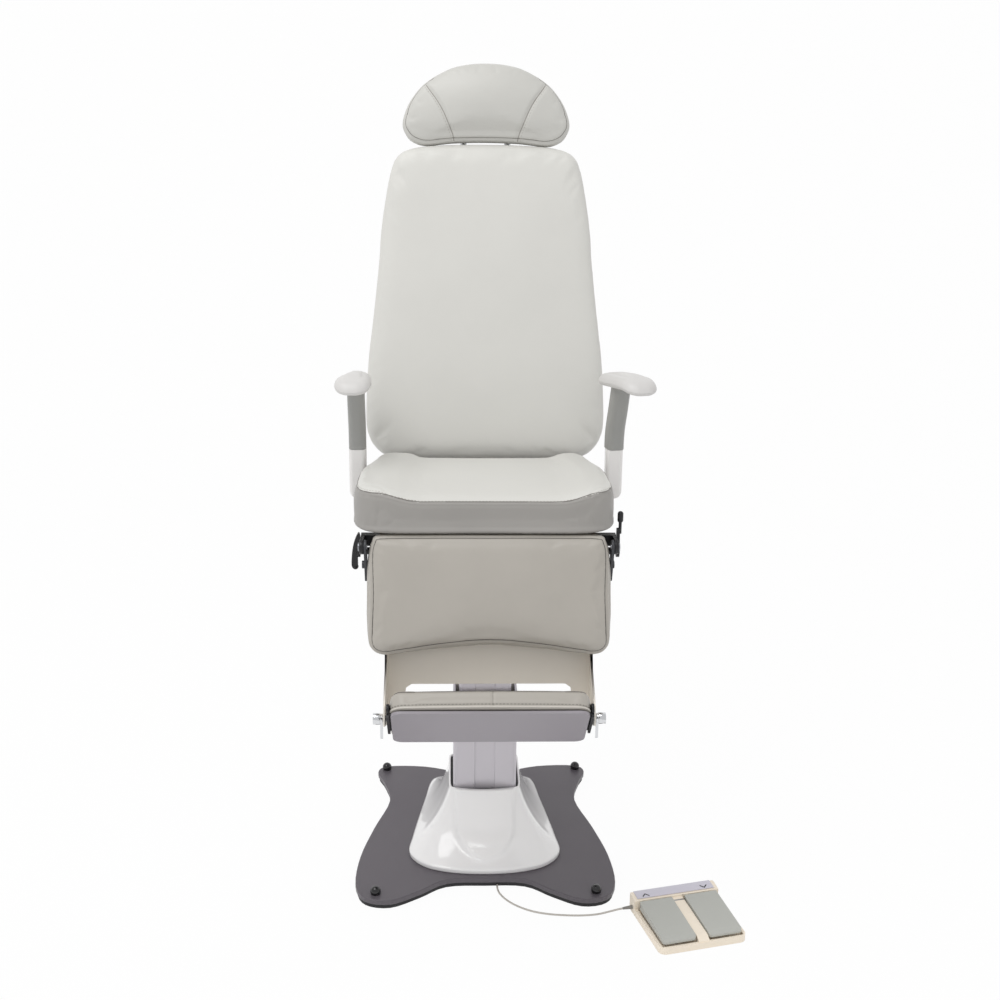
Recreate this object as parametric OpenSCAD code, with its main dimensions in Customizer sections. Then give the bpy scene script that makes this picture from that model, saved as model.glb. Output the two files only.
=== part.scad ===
/* [Base] */
// Overall width of the floor plate
base_w = 525; // [480:5:580]
// Depth of the floor plate from front lobes to back lobes
base_d = 572; // [520:4:640]
// Thickness of the steel floor plate
plate_t = 11; // [8:1:16]
// Thickness of the black underlay below the floor plate
underlay_t = 9; // [5:1:14]
// Inset of the underlay from the edge of the floor plate
underlay_inset = 3; // [1:0.5:6]
// Diameter of the domed caps over the levelling bolts
cap_d = 21; // [16:1:28]
// Spacing of the caps across the plate
cap_span_x = 440; // [400:5:470]
// Spacing of the caps along the plate
cap_span_y = 526; // [480:4:560]

/* [Column] */
// Width of the outer column tube
outer_w = 132; // [124:1:144]
// Depth of the outer column tube
outer_d = 142; // [134:1:154]
// Height of the outer column above the floor plate
outer_h = 345; // [320:5:370]
// Wall of the outer column
outer_wall = 5; // [3:0.5:8]
// Gap between the two column tubes at their sides
tube_gap_x = 7; // [5:0.5:10]
// Gap between the two column tubes at the front and the back
tube_gap_y = 6; // [4:0.5:9]
// Wall of the inner column
inner_wall = 6; // [4:0.5:9]
// Length of the inner column tube
inner_h = 425; // [400:5:440]
// Width of the recessed band down the front and back of the columns
band_w = 42; // [30:1:60]
// Depth of the recessed band
band_depth = 2; // [1:0.25:3]
// Travel of the lift below the photographed height
lift_travel = 200; // [150:10:210]

/* [Column cover] */
// Height of the cover above the floor plate
cover_h = 128; // [110:2:150]
// Widest half width of the cover at its foot
cover_half_w = 156; // [140:2:175]
// Reach of the cover in front of the column axis
cover_front = 199; // [180:2:215]
// Reach of the cover behind the column axis
cover_back = 208; // [190:2:220]
// Wall of the cover
cover_wall = 4; // [3:0.5:6]
// Height of the raised tongue above the front of the cover
tongue_rise = 7; // [4:0.5:10]

/* [Seat] */
// Width of the seat cushion
seat_w = 481; // [450:5:500]
// Length of the seat cushion
seat_l = 358; // [330:2:370]
// Thickness of the seat cushion
seat_t = 69; // [60:1:80]
// Backward tilt of the seat in degrees
seat_tilt = 3; // [0:0.5:4]
// Reach of the seat front ahead of the column axis
seat_front = 272; // [260:2:290]
// Thickness of the seat pan
pan_t = 10; // [6:1:14]
// Inset of the seat frame's side plates from the side of the legrest pad
frame_inset = 33; // [28:1:40]
// Thickness of the side plates
side_plate_t = 6; // [5:0.5:8]

/* [Backrest] */
// Greatest width of the backrest cushion, near its foot
back_w = 489; // [460:3:520]
// Width of the backrest cushion at its shoulders
back_top_w = 357; // [330:3:390]
// Length of the backrest cushion
back_l = 652; // [600:5:680]
// Thickness of the backrest cushion
back_t = 62; // [50:1:75]
// Backward lean of the backrest in degrees
back_lean = 11; // [6:1:16]
// Thickness of the moulded shell behind the cushion
back_shell_t = 16; // [12:1:22]

/* [Headrest] */
// Width of the headrest cushion
head_w = 327; // [290:3:360]
// Height of the headrest cushion
head_h = 154; // [140:2:175]
// Thickness of the headrest cushion
head_t = 70; // [55:1:80]
// Diameter of the headrest posts
head_post_d = 14; // [12:1:18]
// Spacing of the headrest posts
head_post_span = 92; // [72:4:120]

/* [Arms] */
// Gap between the side of the seat and an arm post
arm_gap = 1.5; // [1:0.5:8]
// Width of an arm post
post_w = 34; // [28:1:38]
// Depth of an arm post
post_d = 40; // [34:1:46]
// Width of an arm pad
arm_pad_w = 70; // [56:2:80]
// Length of an arm pad
arm_pad_l = 205; // [170:5:240]
// Forward rise of the arm pads in degrees
arm_rise = 8; // [0:1:12]

/* [Legrest] */
// Inset of the legrest pad from the side of the seat
leg_inset = 16.5; // [12:0.5:24]
// Length of the legrest pad
leg_l = 225; // [200:5:250]
// Thickness of the legrest pad
leg_t = 52; // [44:1:58]
// Forward lean of the legrest in degrees
leg_lean = 18; // [12:1:22]
// Thickness of the extension plate sheet
ext_t = 3; // [2:0.5:5]
// Travel of the extension plate
ext_travel = 80; // [40:5:90]

/* [Footrest] */
// Gap between the brackets of the footrest and the flanges of the extension plate
foot_side_gap = 4.5; // [3:0.5:8]
// Depth of the footrest pad
foot_l = 158; // [130:2:162]
// Thickness of the footrest pad
foot_t = 34; // [30:1:44]
// Upward fold of the footrest above level in degrees
foot_fold = 45; // [40:1:50]

/* [Foot switch] */
// Width of the foot switch housing
switch_w = 178; // [160:2:200]
// Depth of the foot switch housing
switch_l = 176; // [160:2:190]
// Turn of the foot switch about the vertical in degrees
switch_turn = 14; // [0:1:25]
// Travel of a pedal in degrees
pedal_travel = 4; // [3:0.5:5]

/* [Hidden] */
$fn = 48;

// Gap between faces that slide or swing past each other
clr = 0.5;
// Gap under a soft piece on its board
seat_gap = 0.3;
// Radial play of a pin in its bore
play = 0.05;
// Overrun of every cut
over = 1;
// Radius of a pivot pin and of the eye around it
pin_r = 5;
eye_r = 13;

// Heights of the base
plate_z = underlay_t;
floor_top = underlay_t + plate_t;

// Column stack from the top of the outer tube up to the swivel hub
column_top = floor_top + outer_h;
inner_overlap = 118;
inner_z = column_top - inner_overlap;
flange_z = inner_z + inner_h;
flange_t = 10;
flange_w = 170;
bearing_t = 10;
bearing_r = 82;
bearing_bore_r = 42;
bearing_z = flange_z + flange_t;
hub_z = bearing_z + bearing_t;
hub_t = 10;
hub_r = 108;
column_corner_r = 9;
inner_w = outer_w - (outer_wall + tube_gap_x) * 2;
inner_d = outer_d - (outer_wall + band_depth + tube_gap_y) * 2;

// Seat datum: underside of the cushion at its front edge
cross_z = hub_z + hub_t;
seat_rise = 74;
seat_z = cross_z + seat_rise;
function seat_under(y) = seat_z - (y + seat_front) * tan(seat_tilt);

// Pivots, as [y, z]
leg_top = 26;
leg_pivot_back = 8;
legrest_pivot = [-seat_front + leg_pivot_back, seat_z - leg_top - clr * 6];
back_gap = 2;
back_pivot_drop = 8;
back_pivot = [-seat_front + seat_l + back_gap + back_t, seat_z - back_pivot_drop];
crank = [45, -50];
crank_eye_r = 11;
crank_t = 6;

// Cross positions of the plates that carry the linkage, from the side of the seat inwards
leg_w = seat_w - leg_inset * 2;
side_out = leg_w / 2 - frame_inset;
side_in = side_out - side_plate_t;
crank_x = side_out + clr * 6;
link_x = crank_x + crank_t + clr * 2;
link_t = 6;
ext_w = (crank_x - clr * 2) * 2;
foot_bracket_t = 5;
foot_w = ext_w - (ext_t + foot_side_gap + foot_bracket_t + clr * 2) * 2;

// Points and profiles
function arc(c, r, from, to, n) = [for (i = [0:n]) c + r * [cos(from + (to - from) * i / n),
    sin(from + (to - from) * i / n)]];
function rounded(w, d, r, n = 6) = concat(
    arc([w / 2 - r, d / 2 - r], r, 0, 90, n), arc([r - w / 2, d / 2 - r], r, 90, 180, n),
    arc([r - w / 2, r - d / 2], r, 180, 270, n), arc([w / 2 - r, r - d / 2], r, 270, 360, n));
// Point a share t of the way from b to c, on the smooth curve through a, b, c and d
function along_curve(a, b, c, d, t) = (2 * b + (c - a) * t + (2 * a - 5 * b + 4 * c - d) * t * t
    + (3 * b - a - 3 * c + d) * t * t * t) / 2;
// Closed smooth curve through a few points
function smooth(p, n) = let (m = len(p)) [for (i = [0:m - 1], k = [0:n - 1])
    along_curve(p[(i + m - 1) % m], p[i], p[(i + 1) % m], p[(i + 2) % m], k / n)];
// Right half of an outline, bottom to top, with its mirror image
function mirrored(p) = concat(p, [for (i = [len(p) - 2:-1:1]) [-p[i][0], p[i][1]]]);
function scaled(p, w, h) = [for (q = p) [q[0] * w, q[1] * h]];
function unit(v) = v / norm(v);
// Outline moved inwards along its normals
function inset(p, d) = let (m = len(p)) [for (i = [0:m - 1])
    let (t = unit(p[(i + 1) % m] - p[(i + m - 1) % m])) p[i] - d * [t[1], -t[0]]];
function middle(p) = let (n = len(p)) [for (k = [0:len(p[0]) - 1]) [for (q = p) q[k]] * [for (q = p) 1] / n];
function lifted(p, h) = [for (q = p) [q[0], q[1], h]];

// Solid through a stack of rings, closed at both ends
module loft(rings) {
    n = len(rings[0]);
    m = len(rings);
    points = concat([for (r = rings) each r], [middle(rings[0]), middle(rings[m - 1])]);
    sides = [for (j = [0:m - 2], i = [0:n - 1])
        let (a = j * n + i, b = j * n + (i + 1) % n, c = b + n, d = a + n) each [[a, d, c], [a, c, b]]];
    ends = [for (i = [0:n - 1])
        each [[m * n, i, (i + 1) % n], [m * n + 1, (m - 1) * n + (i + 1) % n, (m - 1) * n + i]]];
    polyhedron(points, concat(sides, ends), convexity = 4);
}

// Upholstered pad: flat back, rounded edges and a crowned face
module pad(outline, t, back_r, face_r, crown, steps = 3, dome = 3) {
    c = middle(outline);
    inner = inset(outline, face_r);
    rings = concat(
        [for (i = [0:steps]) let (a = 90 * i / steps)
            lifted(inset(outline, back_r * (1 - sin(a))), back_r * (1 - cos(a)))],
        [for (i = [0:steps]) let (a = 90 * i / steps)
            lifted(inset(outline, face_r * (1 - cos(a))), t - crown - face_r * (1 - sin(a)))],
        [for (i = [1:dome]) let (s = 1 - i / (dome + 1))
            lifted([for (q = inner) c + (q - c) * s], t - crown * s * s)]);
    loft(rings);
}

// Flat plate across the width, drawn as [y, z]
module plate_yz(x, t) translate([x, 0, 0]) rotate([90, 0, 90]) linear_extrude(t) children();
module bar_x(from, to, r, p) translate([from, p[0], p[1]]) rotate([0, 90, 0]) cylinder(r = r, h = to - from);
module both() {
    children();
    mirror([1, 0, 0]) children();
}
module block(x0, x1, y0, y1, z0, z1) translate([x0, y0, z0]) cube([x1 - x0, y1 - y0, z1 - z0]);
// Strap between two round ends
module strap(a, ra, b, rb) {
    t = atan2(b[1] - a[1], b[0] - a[0]);
    s = acos((ra - rb) / norm(b - a));
    translate(a) circle(ra);
    translate(b) circle(rb);
    polygon([a + ra * [cos(t + s), sin(t + s)], a + ra * [cos(t - s), sin(t - s)],
        b + rb * [cos(t - s), sin(t - s)], b + rb * [cos(t + s), sin(t + s)]]);
}
module hole(p, r) translate(p) circle(r);

// Frames that lean with the body that they carry
module leg_space() translate([0, legrest_pivot[0], legrest_pivot[1]]) rotate([-leg_lean, 0, 0]) children();
module back_space() translate([0, back_pivot[0], back_pivot[1]]) rotate([-back_lean, 0, 0]) children();
module seat_space() translate([0, -seat_front, seat_z]) rotate([-seat_tilt, 0, 0]) children();

// Outline of the floor plate, in shares of its half width and of its depth
plate_shares = [[0, -0.355], [0.3, -0.362], [0.5, -0.43], [0.72, -0.49], [0.92, -0.47], [1, -0.38],
    [0.985, -0.2], [0.9, 0], [0.79, 0.21], [0.85, 0.36], [0.915, 0.45], [0.83, 0.499], [0.5, 0.495],
    [0.2, 0.445], [0, 0.42]];
plate_y = -9;
plate_outline = smooth(mirrored(scaled(plate_shares, base_w / 2, base_d)), 4);
cap_y = -2;

module base_plate() color("#6b666c") translate([0, plate_y, plate_z]) linear_extrude(plate_t)
    polygon(plate_outline);
module base_underlay() color("#1c1b1e") translate([0, plate_y, 0]) linear_extrude(underlay_t)
    polygon(inset(plate_outline, underlay_inset));
// Domed head on a short collar
module leveller_caps() {
    dome_r = cap_d / 2;
    collar_h = cap_d / 10;
    color("#17161a") for (x = [-1, 1], y = [-1, 1])
        translate([x * cap_span_x / 2, cap_y + y * cap_span_y / 2, floor_top]) {
            cylinder(r = dome_r * 0.86, h = collar_h);
            intersection() {
                translate([0, 0, dome_r * 0.55]) sphere(dome_r);
                translate([0, 0, collar_h]) cylinder(r = cap_d, h = cap_d * 2);
            }
        }
}

// Column section with a recessed band down the front and the back
module column_section(w, d, r) difference() {
    polygon(rounded(w, d, r));
    for (s = [-1, 1]) translate([0, s * d / 2]) square([band_w, band_depth * 2], center = true);
}
module outer_column() color("#b0adb0") translate([0, 0, floor_top]) {
    linear_extrude(outer_h) difference() {
        column_section(outer_w, outer_d, column_corner_r);
        polygon(rounded(outer_w - outer_wall * 2, outer_d - (outer_wall + band_depth) * 2,
            column_corner_r / 2));
    }
}
module inner_column() color("#b7b4b8") translate([0, 0, inner_z]) linear_extrude(inner_h) difference() {
    column_section(inner_w, inner_d, column_corner_r);
    polygon(rounded(inner_w - inner_wall * 2, inner_d - (inner_wall + band_depth) * 2, column_corner_r / 2));
}
// Plastic glides that guide the inner tube, fixed in the mouth of the outer tube
glide_h = 90;
glide_w = 40;
module column_glides() color("#e8e6e0") for (a = [0:3]) {
    along = a % 2 == 0;
    outer = along ? outer_w / 2 - outer_wall : outer_d / 2 - outer_wall - band_depth;
    inner = along ? inner_w / 2 : inner_d / 2;
    rotate(a * 90) translate([inner + clr, -glide_w / 2, column_top - glide_h])
        cube([outer - inner - clr, glide_w, glide_h]);
}
motor_r = 26;
screw_r = 9;
motor_drop = 75;
motor_h = outer_h - motor_drop;
screw_z = floor_top + outer_wall * 4 + lift_travel;
// Lift motor standing on the floor plate inside the column, with its gearbox foot
module lift_motor() color("#3a3b3f") translate([0, 0, floor_top]) {
    difference() {
        union() {
            cylinder(r = motor_r, h = motor_h);
            cylinder(r = motor_r + outer_wall, h = outer_wall * 2);
        }
        translate([0, 0, outer_wall * 3]) cylinder(r = screw_r + clr, h = motor_h);
    }
}
module lift_screw() color("#c9c9cc") {
    translate([0, 0, screw_z]) cylinder(r = screw_r, h = flange_z - screw_z);
    // Nut plate that hangs the screw from the head of the inner tube
    translate([0, 0, flange_z - flange_t]) cylinder(r = inner_w / 2 - inner_wall - clr, h = flange_t);
}

// Foot and collar of the cover, in shares of their half width and of their reach each way
foot_shares = [[0, -1], [0.45, -0.965], [0.8, -0.85], [1, -0.62], [0.97, -0.3], [0.9, 0.1],
    [0.82, 0.5], [0.75, 0.86], [0.64, 0.985], [0.4, 1], [0, 1]];
collar_shares = [[0, -1.08], [0.45, -1.05], [0.85, -0.97], [0.98, -0.84], [1, -0.3], [1, 0.3],
    [1, 0.8], [0.94, 0.96], [0.75, 1.01], [0.4, 1.02], [0, 1.02]];
collar_gap = 5;
collar_half_w = outer_w / 2 + collar_gap + cover_wall;
collar_half_d = outer_d / 2 + collar_gap + cover_wall;
cover_lip = 9;
foot_outline = smooth(mirrored([for (q = foot_shares)
    [q[0] * cover_half_w, q[1] * (q[1] < 0 ? cover_front : cover_back)]]), 2);
collar_outline = smooth(mirrored(scaled(collar_shares, collar_half_w, collar_half_d)), 2);
// Rings of the cover, moved in by a wall; the sides flare out towards the foot
function cover_rings(wall, low, high) = concat([lifted(inset(foot_outline, wall), low)],
    [for (i = [0:7]) let (a = 90 * i / 7, f = 0.45 * i / 7 + 0.55 * sin(a),
        g = 0.5 * i / 7 + 0.5 * (1 - cos(a)))
        lifted(inset(foot_outline * (1 - f) + collar_outline * f, wall),
            cover_lip - wall / 2 + (cover_h - cover_lip) * g)],
    [lifted(inset(collar_outline, wall), high)]);
tongue_half_w = 64;
tongue_low = 14;
tongue_bow = 62;
module column_cover() color("#e6e5e3") translate([0, 0, floor_top]) {
    difference() {
        union() {
            loft(cover_rings(0, 0, cover_h + cover_wall));
            // Raised tongue down the front, with a rounded foot
            intersection() {
                loft(cover_rings(-tongue_rise, cover_lip, cover_h + cover_wall / 2));
                rotate([90, 0, 0]) linear_extrude(cover_front + tongue_rise * 2) polygon(concat(
                    [for (i = [0:16]) let (a = 180 + 180 * i / 16)
                        [tongue_half_w * cos(a), tongue_low + tongue_bow + tongue_bow * sin(a)]],
                    [[tongue_half_w, cover_h + over], [-tongue_half_w, cover_h + over]]));
            }
        }
        loft(cover_rings(cover_wall, -over, cover_h + cover_wall + over));
    }
}
wiper_t = 8;
module column_wiper() color("#141316") translate([0, 0, floor_top + cover_h - wiper_t]) linear_extrude(wiper_t)
    difference() {
        polygon(inset(collar_outline, cover_wall + clr / 2));
        polygon(rounded(outer_w + clr, outer_d + clr, column_corner_r));
    }

// Top of the column
bolt_r = 4;
module top_flange() color("#4a4b50") translate([0, 0, flange_z]) linear_extrude(flange_t) difference() {
    polygon(rounded(flange_w, flange_w, column_corner_r));
    circle(bearing_bore_r);
    for (x = [-1, 1], y = [-1, 1]) translate([x, y] * (inner_w / 2 - inner_wall * 2)) circle(bolt_r);
}
module swivel_bearing() color("#8e9096") translate([0, 0, bearing_z]) rotate_extrude()
    polygon([[bearing_bore_r, 0], [bearing_r, 0], [bearing_r, bearing_t * 0.4], [bearing_r - over, bearing_t / 2],
        [bearing_r, bearing_t * 0.6], [bearing_r, bearing_t - clr], [bearing_bore_r, bearing_t - clr]]);
spigot_r = bearing_bore_r - clr;
module swivel_hub() color("#4a4b50") {
    translate([0, 0, hub_z]) cylinder(r = hub_r, h = hub_t);
    // Spigot that turns inside the bearing and the flange
    translate([0, 0, flange_z + clr]) cylinder(r = spigot_r, h = hub_z - flange_z - clr);
}

// Seat frame
cross_y = 72;
cross_w = 40;
cross_h = 22;
hinge_room = 10;
side_low = cross_z;
side_front = legrest_pivot[0] + leg_t / 2 + hinge_room;
pan_front = side_front + side_plate_t;
pan_back_inset = 10;
pan_back = -seat_front + seat_l - pan_back_inset;
pan_inset = 35.5;
pan_w = seat_w - pan_inset * 2;
function pan_under(y) = seat_under(y) - (pan_t + clr / 10) / cos(seat_tilt);
back_eye_r = 24;
shaft_r = 9;
// Places on the side plate, from its low front corner
lever_shaft_at = [16, 20];
lever_shaft_p = [side_front, side_low] + lever_shaft_at;
lever_shaft_r = 7;
spring_foot_at = [38, -30];
spring_foot = [side_front, side_low] + spring_foot_at;
module side_profile() difference() {
    union() {
        polygon([[side_front, side_low + eye_r], [side_front + eye_r, side_low],
            [back_pivot[0] - back_eye_r, side_low], [back_pivot[0] + back_eye_r, back_pivot[1]],
            [back_pivot[0] - back_eye_r, back_pivot[1]], [pan_back, pan_under(pan_back)],
            [side_front, pan_under(side_front)]]);
        hole(back_pivot, back_eye_r);
        strap(spring_foot, eye_r, [spring_foot[0], side_low + eye_r * 2], eye_r);
    }
    hole(back_pivot, shaft_r + play);
    hole(lever_shaft_p, lever_shaft_r + play);
    hole(spring_foot, pin_r + play);
}
module seat_frame() color("#3b3c40") {
    both() difference() {
        plate_yz(side_in, side_plate_t) side_profile();
    }
    for (y = [-1, 1]) translate([-side_in, y * cross_y - cross_w / 2, cross_z])
        cube([side_in * 2, cross_w, cross_h]);
    // Fore and aft ribs that tie the cross members above the hub
    both() block(hub_r * 0.5, hub_r * 0.5 + side_plate_t * 2, -cross_y, cross_y, cross_z, cross_z + cross_h);
}
module seat_pan() color("#8a6d4a") seat_space() translate([0, seat_front + (pan_front + pan_back) / 2, -pan_t])
    linear_extrude(pan_t) polygon(rounded(pan_w, pan_back - pan_front, eye_r));
seat_edge_r = 32;
seat_face_r = 17;
seat_crown = 7;
// Outline of the seat, drawn in a little between its corners
seat_shares = [[0, 0], [0.6, -0.006], [0.88, 0.002], [0.975, 0.035], [1, 0.13], [0.985, 0.5], [1, 0.85],
    [0.97, 0.965], [0.87, 1], [0.5, 0.99], [0, 0.985]];
module seat_cushion() color("#cfcdc8") seat_space() translate([0, 0, seat_gap])
    pad(smooth(mirrored(scaled(seat_shares, seat_w / 2, seat_l)), 2), seat_t, seat_edge_r, seat_face_r,
        seat_crown, 3, 3);

// Arm carriers: a bar under the cushion that turns up to the lower post
arm_x = seat_w / 2 + arm_gap + post_w / 2;
arm_y = 30;
arm_drop = 18;
arm_low = seat_z - arm_drop;
arm_post_h = 101;
arm_split = arm_low + arm_post_h;
arm_upper_h = 137;
arm_high = arm_split + arm_upper_h;
bracket_w = 36;
bracket_t = 8;
bracket_z = seat_under(arm_y - bracket_w) - pan_t - bracket_t * 2.6;
bracket_up = 4;
upright_x = arm_x - post_w / 2 - bracket_up;
module arm_bracket() {
    block(side_out, upright_x + bracket_up, arm_y - bracket_w / 2, arm_y + bracket_w / 2, bracket_z,
        bracket_z + bracket_t);
    block(upright_x, upright_x + bracket_up, arm_y - bracket_w / 2, arm_y + bracket_w / 2, bracket_z,
        arm_low + eye_r * 1.7);
}
module arm_bracket_left() color("#3b3c40") mirror([1, 0, 0]) arm_bracket();
module arm_bracket_right() color("#3b3c40") arm_bracket();
spigot_post_r = 9;
spigot_post_h = 34;
plug_z = arm_low + eye_r * 1.9;
plug_r = 5;
plug_t = 2.5;
// Lower post with a rounded foot, a bore for the spigot and a recess for the plug
module arm_post() difference() {
    union() {
        translate([0, 0, arm_low + post_w / 2]) linear_extrude(arm_split - arm_low - post_w / 2)
            polygon(rounded(post_w, post_d, post_w / 4));
        intersection() {
            translate([0, post_d / 2, arm_low + post_w / 2]) rotate([90, 0, 0])
                cylinder(r = post_w / 2, h = post_d);
            translate([0, 0, arm_low]) linear_extrude(post_w / 2)
                polygon(rounded(post_w, post_d, post_w / 4));
        }
    }
    translate([0, 0, arm_split - spigot_post_h - over])
        cylinder(r = spigot_post_r + play, h = spigot_post_h + over * 2);
    translate([0, -post_d / 2 + plug_t - clr, plug_z]) rotate([90, 0, 0])
        cylinder(r = plug_r + play, h = plug_t + over);
}
module arm_post_left() color("#dcd9d6") translate([-arm_x, arm_y, 0]) arm_post();
module arm_post_right() color("#dcd9d6") translate([arm_x, arm_y, 0]) arm_post();
module arm_post_plugs() color("#8c8a8c") both() translate([arm_x, arm_y - post_d / 2 + plug_t - clr, plug_z])
    rotate([90, 0, 0]) cylinder(r = plug_r, h = plug_t);

// Hinge of the legrest: ribbed black blocks with an ear, and their pins
leg_arm_x = leg_w / 2 + clr * 4;
leg_arm_t = 5;
ear_x = leg_arm_x + leg_arm_t + over;
ear_t = 7;
block_at = [2, 34];
block_size = [18, 21];
block_y = [side_front + block_at[0], side_front + block_at[0] + block_size[0]];
block_z = [side_low + block_at[1], side_low + block_at[1] + block_size[1]];
rib_n = 4;
module legrest_brackets() color("#1b1a1d") both() {
    difference() {
        block(side_out, ear_x + ear_t, block_y[0], block_y[1], block_z[0], block_z[1]);
        for (i = [1:rib_n]) translate([side_out + eye_r, block_y[0] - over,
            block_z[0] + (block_z[1] - block_z[0]) * i / (rib_n + 1)])
            rotate([0, 90, 0]) cylinder(r = over, h = ear_x - side_out - eye_r, $fn = 16);
    }
    difference() {
        plate_yz(ear_x, ear_t) difference() {
            strap(legrest_pivot, eye_r, [block_y[1] - eye_r * 0.7, (block_z[0] + block_z[1]) / 2], eye_r * 0.7);
            hole(legrest_pivot, pin_r + play);
        }
    }
}
pin_head = 3;
module legrest_pins() color("#9a9a9e") both() {
    bar_x(leg_arm_x - over, ear_x + ear_t, pin_r, legrest_pivot);
    bar_x(ear_x + ear_t, ear_x + ear_t + pin_head, pin_r * 1.6, legrest_pivot);
}
lever_x = ear_x + ear_t + clr * 4;
lever_t = 6;
module lever_shaft() color("#17161a")
    bar_x(-lever_x - lever_t - over, lever_x + lever_t + over, lever_shaft_r, lever_shaft_p);

// Hub and curved horn of the recline lever, seen from the front
horn_reach = 10;
horn_drop = 11;
horn_ball = [lever_x + horn_reach, side_low - horn_drop];
horn_ball_r = 6;
horn_d = 10;
lever_hub_r = 12;
horn_shares = [[0, 0.9], [0.25, 1], [0.75, 0.72], [1, 0.35], [1, 0], [0.35, 0], [0.3, 0.3], [0, 0.5]];
module recline_lever() color("#17161a") mirror([1, 0, 0]) difference() {
    union() {
        bar_x(lever_x, lever_x + lever_t, lever_hub_r, lever_shaft_p);
        translate([lever_x, lever_shaft_p[0] + horn_d / 2, horn_ball[1]]) rotate([90, 0, 0]) linear_extrude(horn_d)
            polygon(smooth(scaled(horn_shares, horn_ball[0] + horn_ball_r - lever_x, block_z[1] - horn_ball[1]), 4));
        translate([horn_ball[0], lever_shaft_p[0], horn_ball[1]]) sphere(horn_ball_r);
    }
    bar_x(lever_x - over, lever_x + lever_t + over + clr, lever_shaft_r + play, lever_shaft_p);
}
knob_up = 13;
knob_z = seat_z + knob_up;
knob_r = 5.5;
knob_l = 12;
knob_x = lever_x + knob_r + over;
stem_r = 3;
stem_drop = 14;
stem_z = seat_z - stem_drop;
module swivel_lever() color("#17161a") {
    plate_yz(lever_x, lever_t) difference() {
        strap(lever_shaft_p, lever_hub_r, [lever_shaft_p[0], stem_z], knob_r);
        hole(lever_shaft_p, lever_shaft_r + play);
    }
    // Stem beside the cushion, with an oval knob
    translate([knob_x, lever_shaft_p[0], stem_z - knob_r]) cylinder(r = stem_r, h = knob_z - stem_z + knob_r);
    for (s = [-1, 1]) translate([knob_x, lever_shaft_p[0], knob_z + s * knob_l / 2]) sphere(knob_r);
    translate([knob_x, lever_shaft_p[0], knob_z - knob_l / 2]) cylinder(r = knob_r, h = knob_l);
}

// Backrest body, in the space of its lean
back_low = 31;
board_gap = 0.3;
spring_end_t = 8;
lug_t = 8;
lug_gap = 9;
lug_x = side_in - lug_gap - lug_t;
spring_inset = 35;
spring_x = side_in - spring_inset;
spring_crank = [50, -72];
// Turns a [y, z] offset into the space of a leaning body
function turned(p, a) = [p[0] * cos(a) - p[1] * sin(a), p[0] * sin(a) + p[1] * cos(a)];
function in_leg(p) = turned(p, leg_lean);
shell_back = back_shell_t + board_gap;
rail_t = 9;
rail_w = 34;
rail_low = 60;
rail_inset = 123;
rail_high = back_low + back_l - rail_inset;
lug_elbow_r = 6;
lug_elbow = [shell_back + lug_elbow_r + clr * 1.5, lug_t];
guide_wall = 5;
guide_y = shell_back + rail_t + head_post_d / 2 + lug_elbow_r;
guide_r = head_post_d / 2 + guide_wall;
guide_drop = 60;
guide_low = rail_high - guide_drop;
guide_h = 70;
module backrest_frame() color("#3b3c40") back_space() {
    both() {
        // Upright rail behind the shell, with the lug that carries the recline shaft
        block(lug_x - rail_w + lug_t, lug_x + lug_t + over, shell_back, shell_back + rail_t, rail_low,
            rail_high);
        plate_yz(lug_x, lug_t) difference() {
            union() {
                strap([0, 0], back_eye_r * 0.75, lug_elbow, lug_elbow_r);
                strap(lug_elbow, lug_elbow_r, [shell_back + rail_t / 2, rail_low * 2], rail_t / 2 - over);
            }
            hole([0, 0], shaft_r + play);
        }
    }
    // Cross bars, and the guides of the headrest posts
    for (z = [rail_low * 2.4, rail_high - rail_w]) translate([0, shell_back + rail_t / 2, z + rail_w / 2])
        cube([lug_x * 2, rail_t, rail_w], center = true);
    difference() {
        union() {
            for (s = [-1, 1]) translate([s * head_post_span / 2, guide_y, guide_low])
                cylinder(r = guide_r, h = guide_h);
            block(-head_post_span / 2, head_post_span / 2, shell_back + rail_t, guide_y,
                guide_low + guide_h / 4, guide_low + guide_h * 0.75);
            block(-head_post_span / 2, head_post_span / 2, shell_back, guide_y, guide_low + guide_h / 4,
                rail_high - rail_w);
        }
        for (s = [-1, 1]) translate([s * head_post_span / 2, guide_y, guide_low - over])
            cylinder(r = head_post_d / 2 + play, h = guide_h + over * 2);
    }
}
// Recline shaft with the inner cranks of the gas springs and the outer cranks of the links
module recline_shaft() color("#77797e") {
    bar_x(-crank_x - crank_t, crank_x + crank_t, shaft_r, back_pivot);
    both() {
        plate_yz(crank_x, crank_t) strap(back_pivot, shaft_r * 1.7, back_pivot + crank, crank_eye_r);
        bar_x(crank_x, link_x + link_t + clr * 2, pin_r, back_pivot + crank);
        plate_yz(spring_x - spring_end_t / 2 - clr * 2 - crank_t, crank_t)
            strap(back_pivot, shaft_r * 1.7, back_pivot + spring_crank, crank_eye_r);
        bar_x(spring_x - spring_end_t / 2 - clr * 2 - crank_t, spring_x + spring_end_t / 2 + clr * 2, pin_r,
            back_pivot + spring_crank);
    }
}
back_shares = [[0, 0], [0.7, 0], [0.92, 0.022], [0.985, 0.07], [1.003, 0.13], [1.012, 0.26], [1.012, 0.385],
    [1.018, 0.51], [1.033, 0.63], [1.045, 0.76], [1.035, 0.86], [1, 0.915], [0.95, 0.945], [0.85, 0.968],
    [0.62, 0.985], [0.3, 0.997], [0, 1]];
function back_half(s) = back_w / 2 + (back_top_w - back_w) / 2 * min(1, max(0, (s - 0.12) / 0.78));
back_outline = smooth(mirrored([for (q = back_shares) [q[0] * back_half(q[1]), q[1] * back_l + back_low]]), 2);
back_edge_r = 18;
back_face_r = 26;
back_crown = 10;
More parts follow.
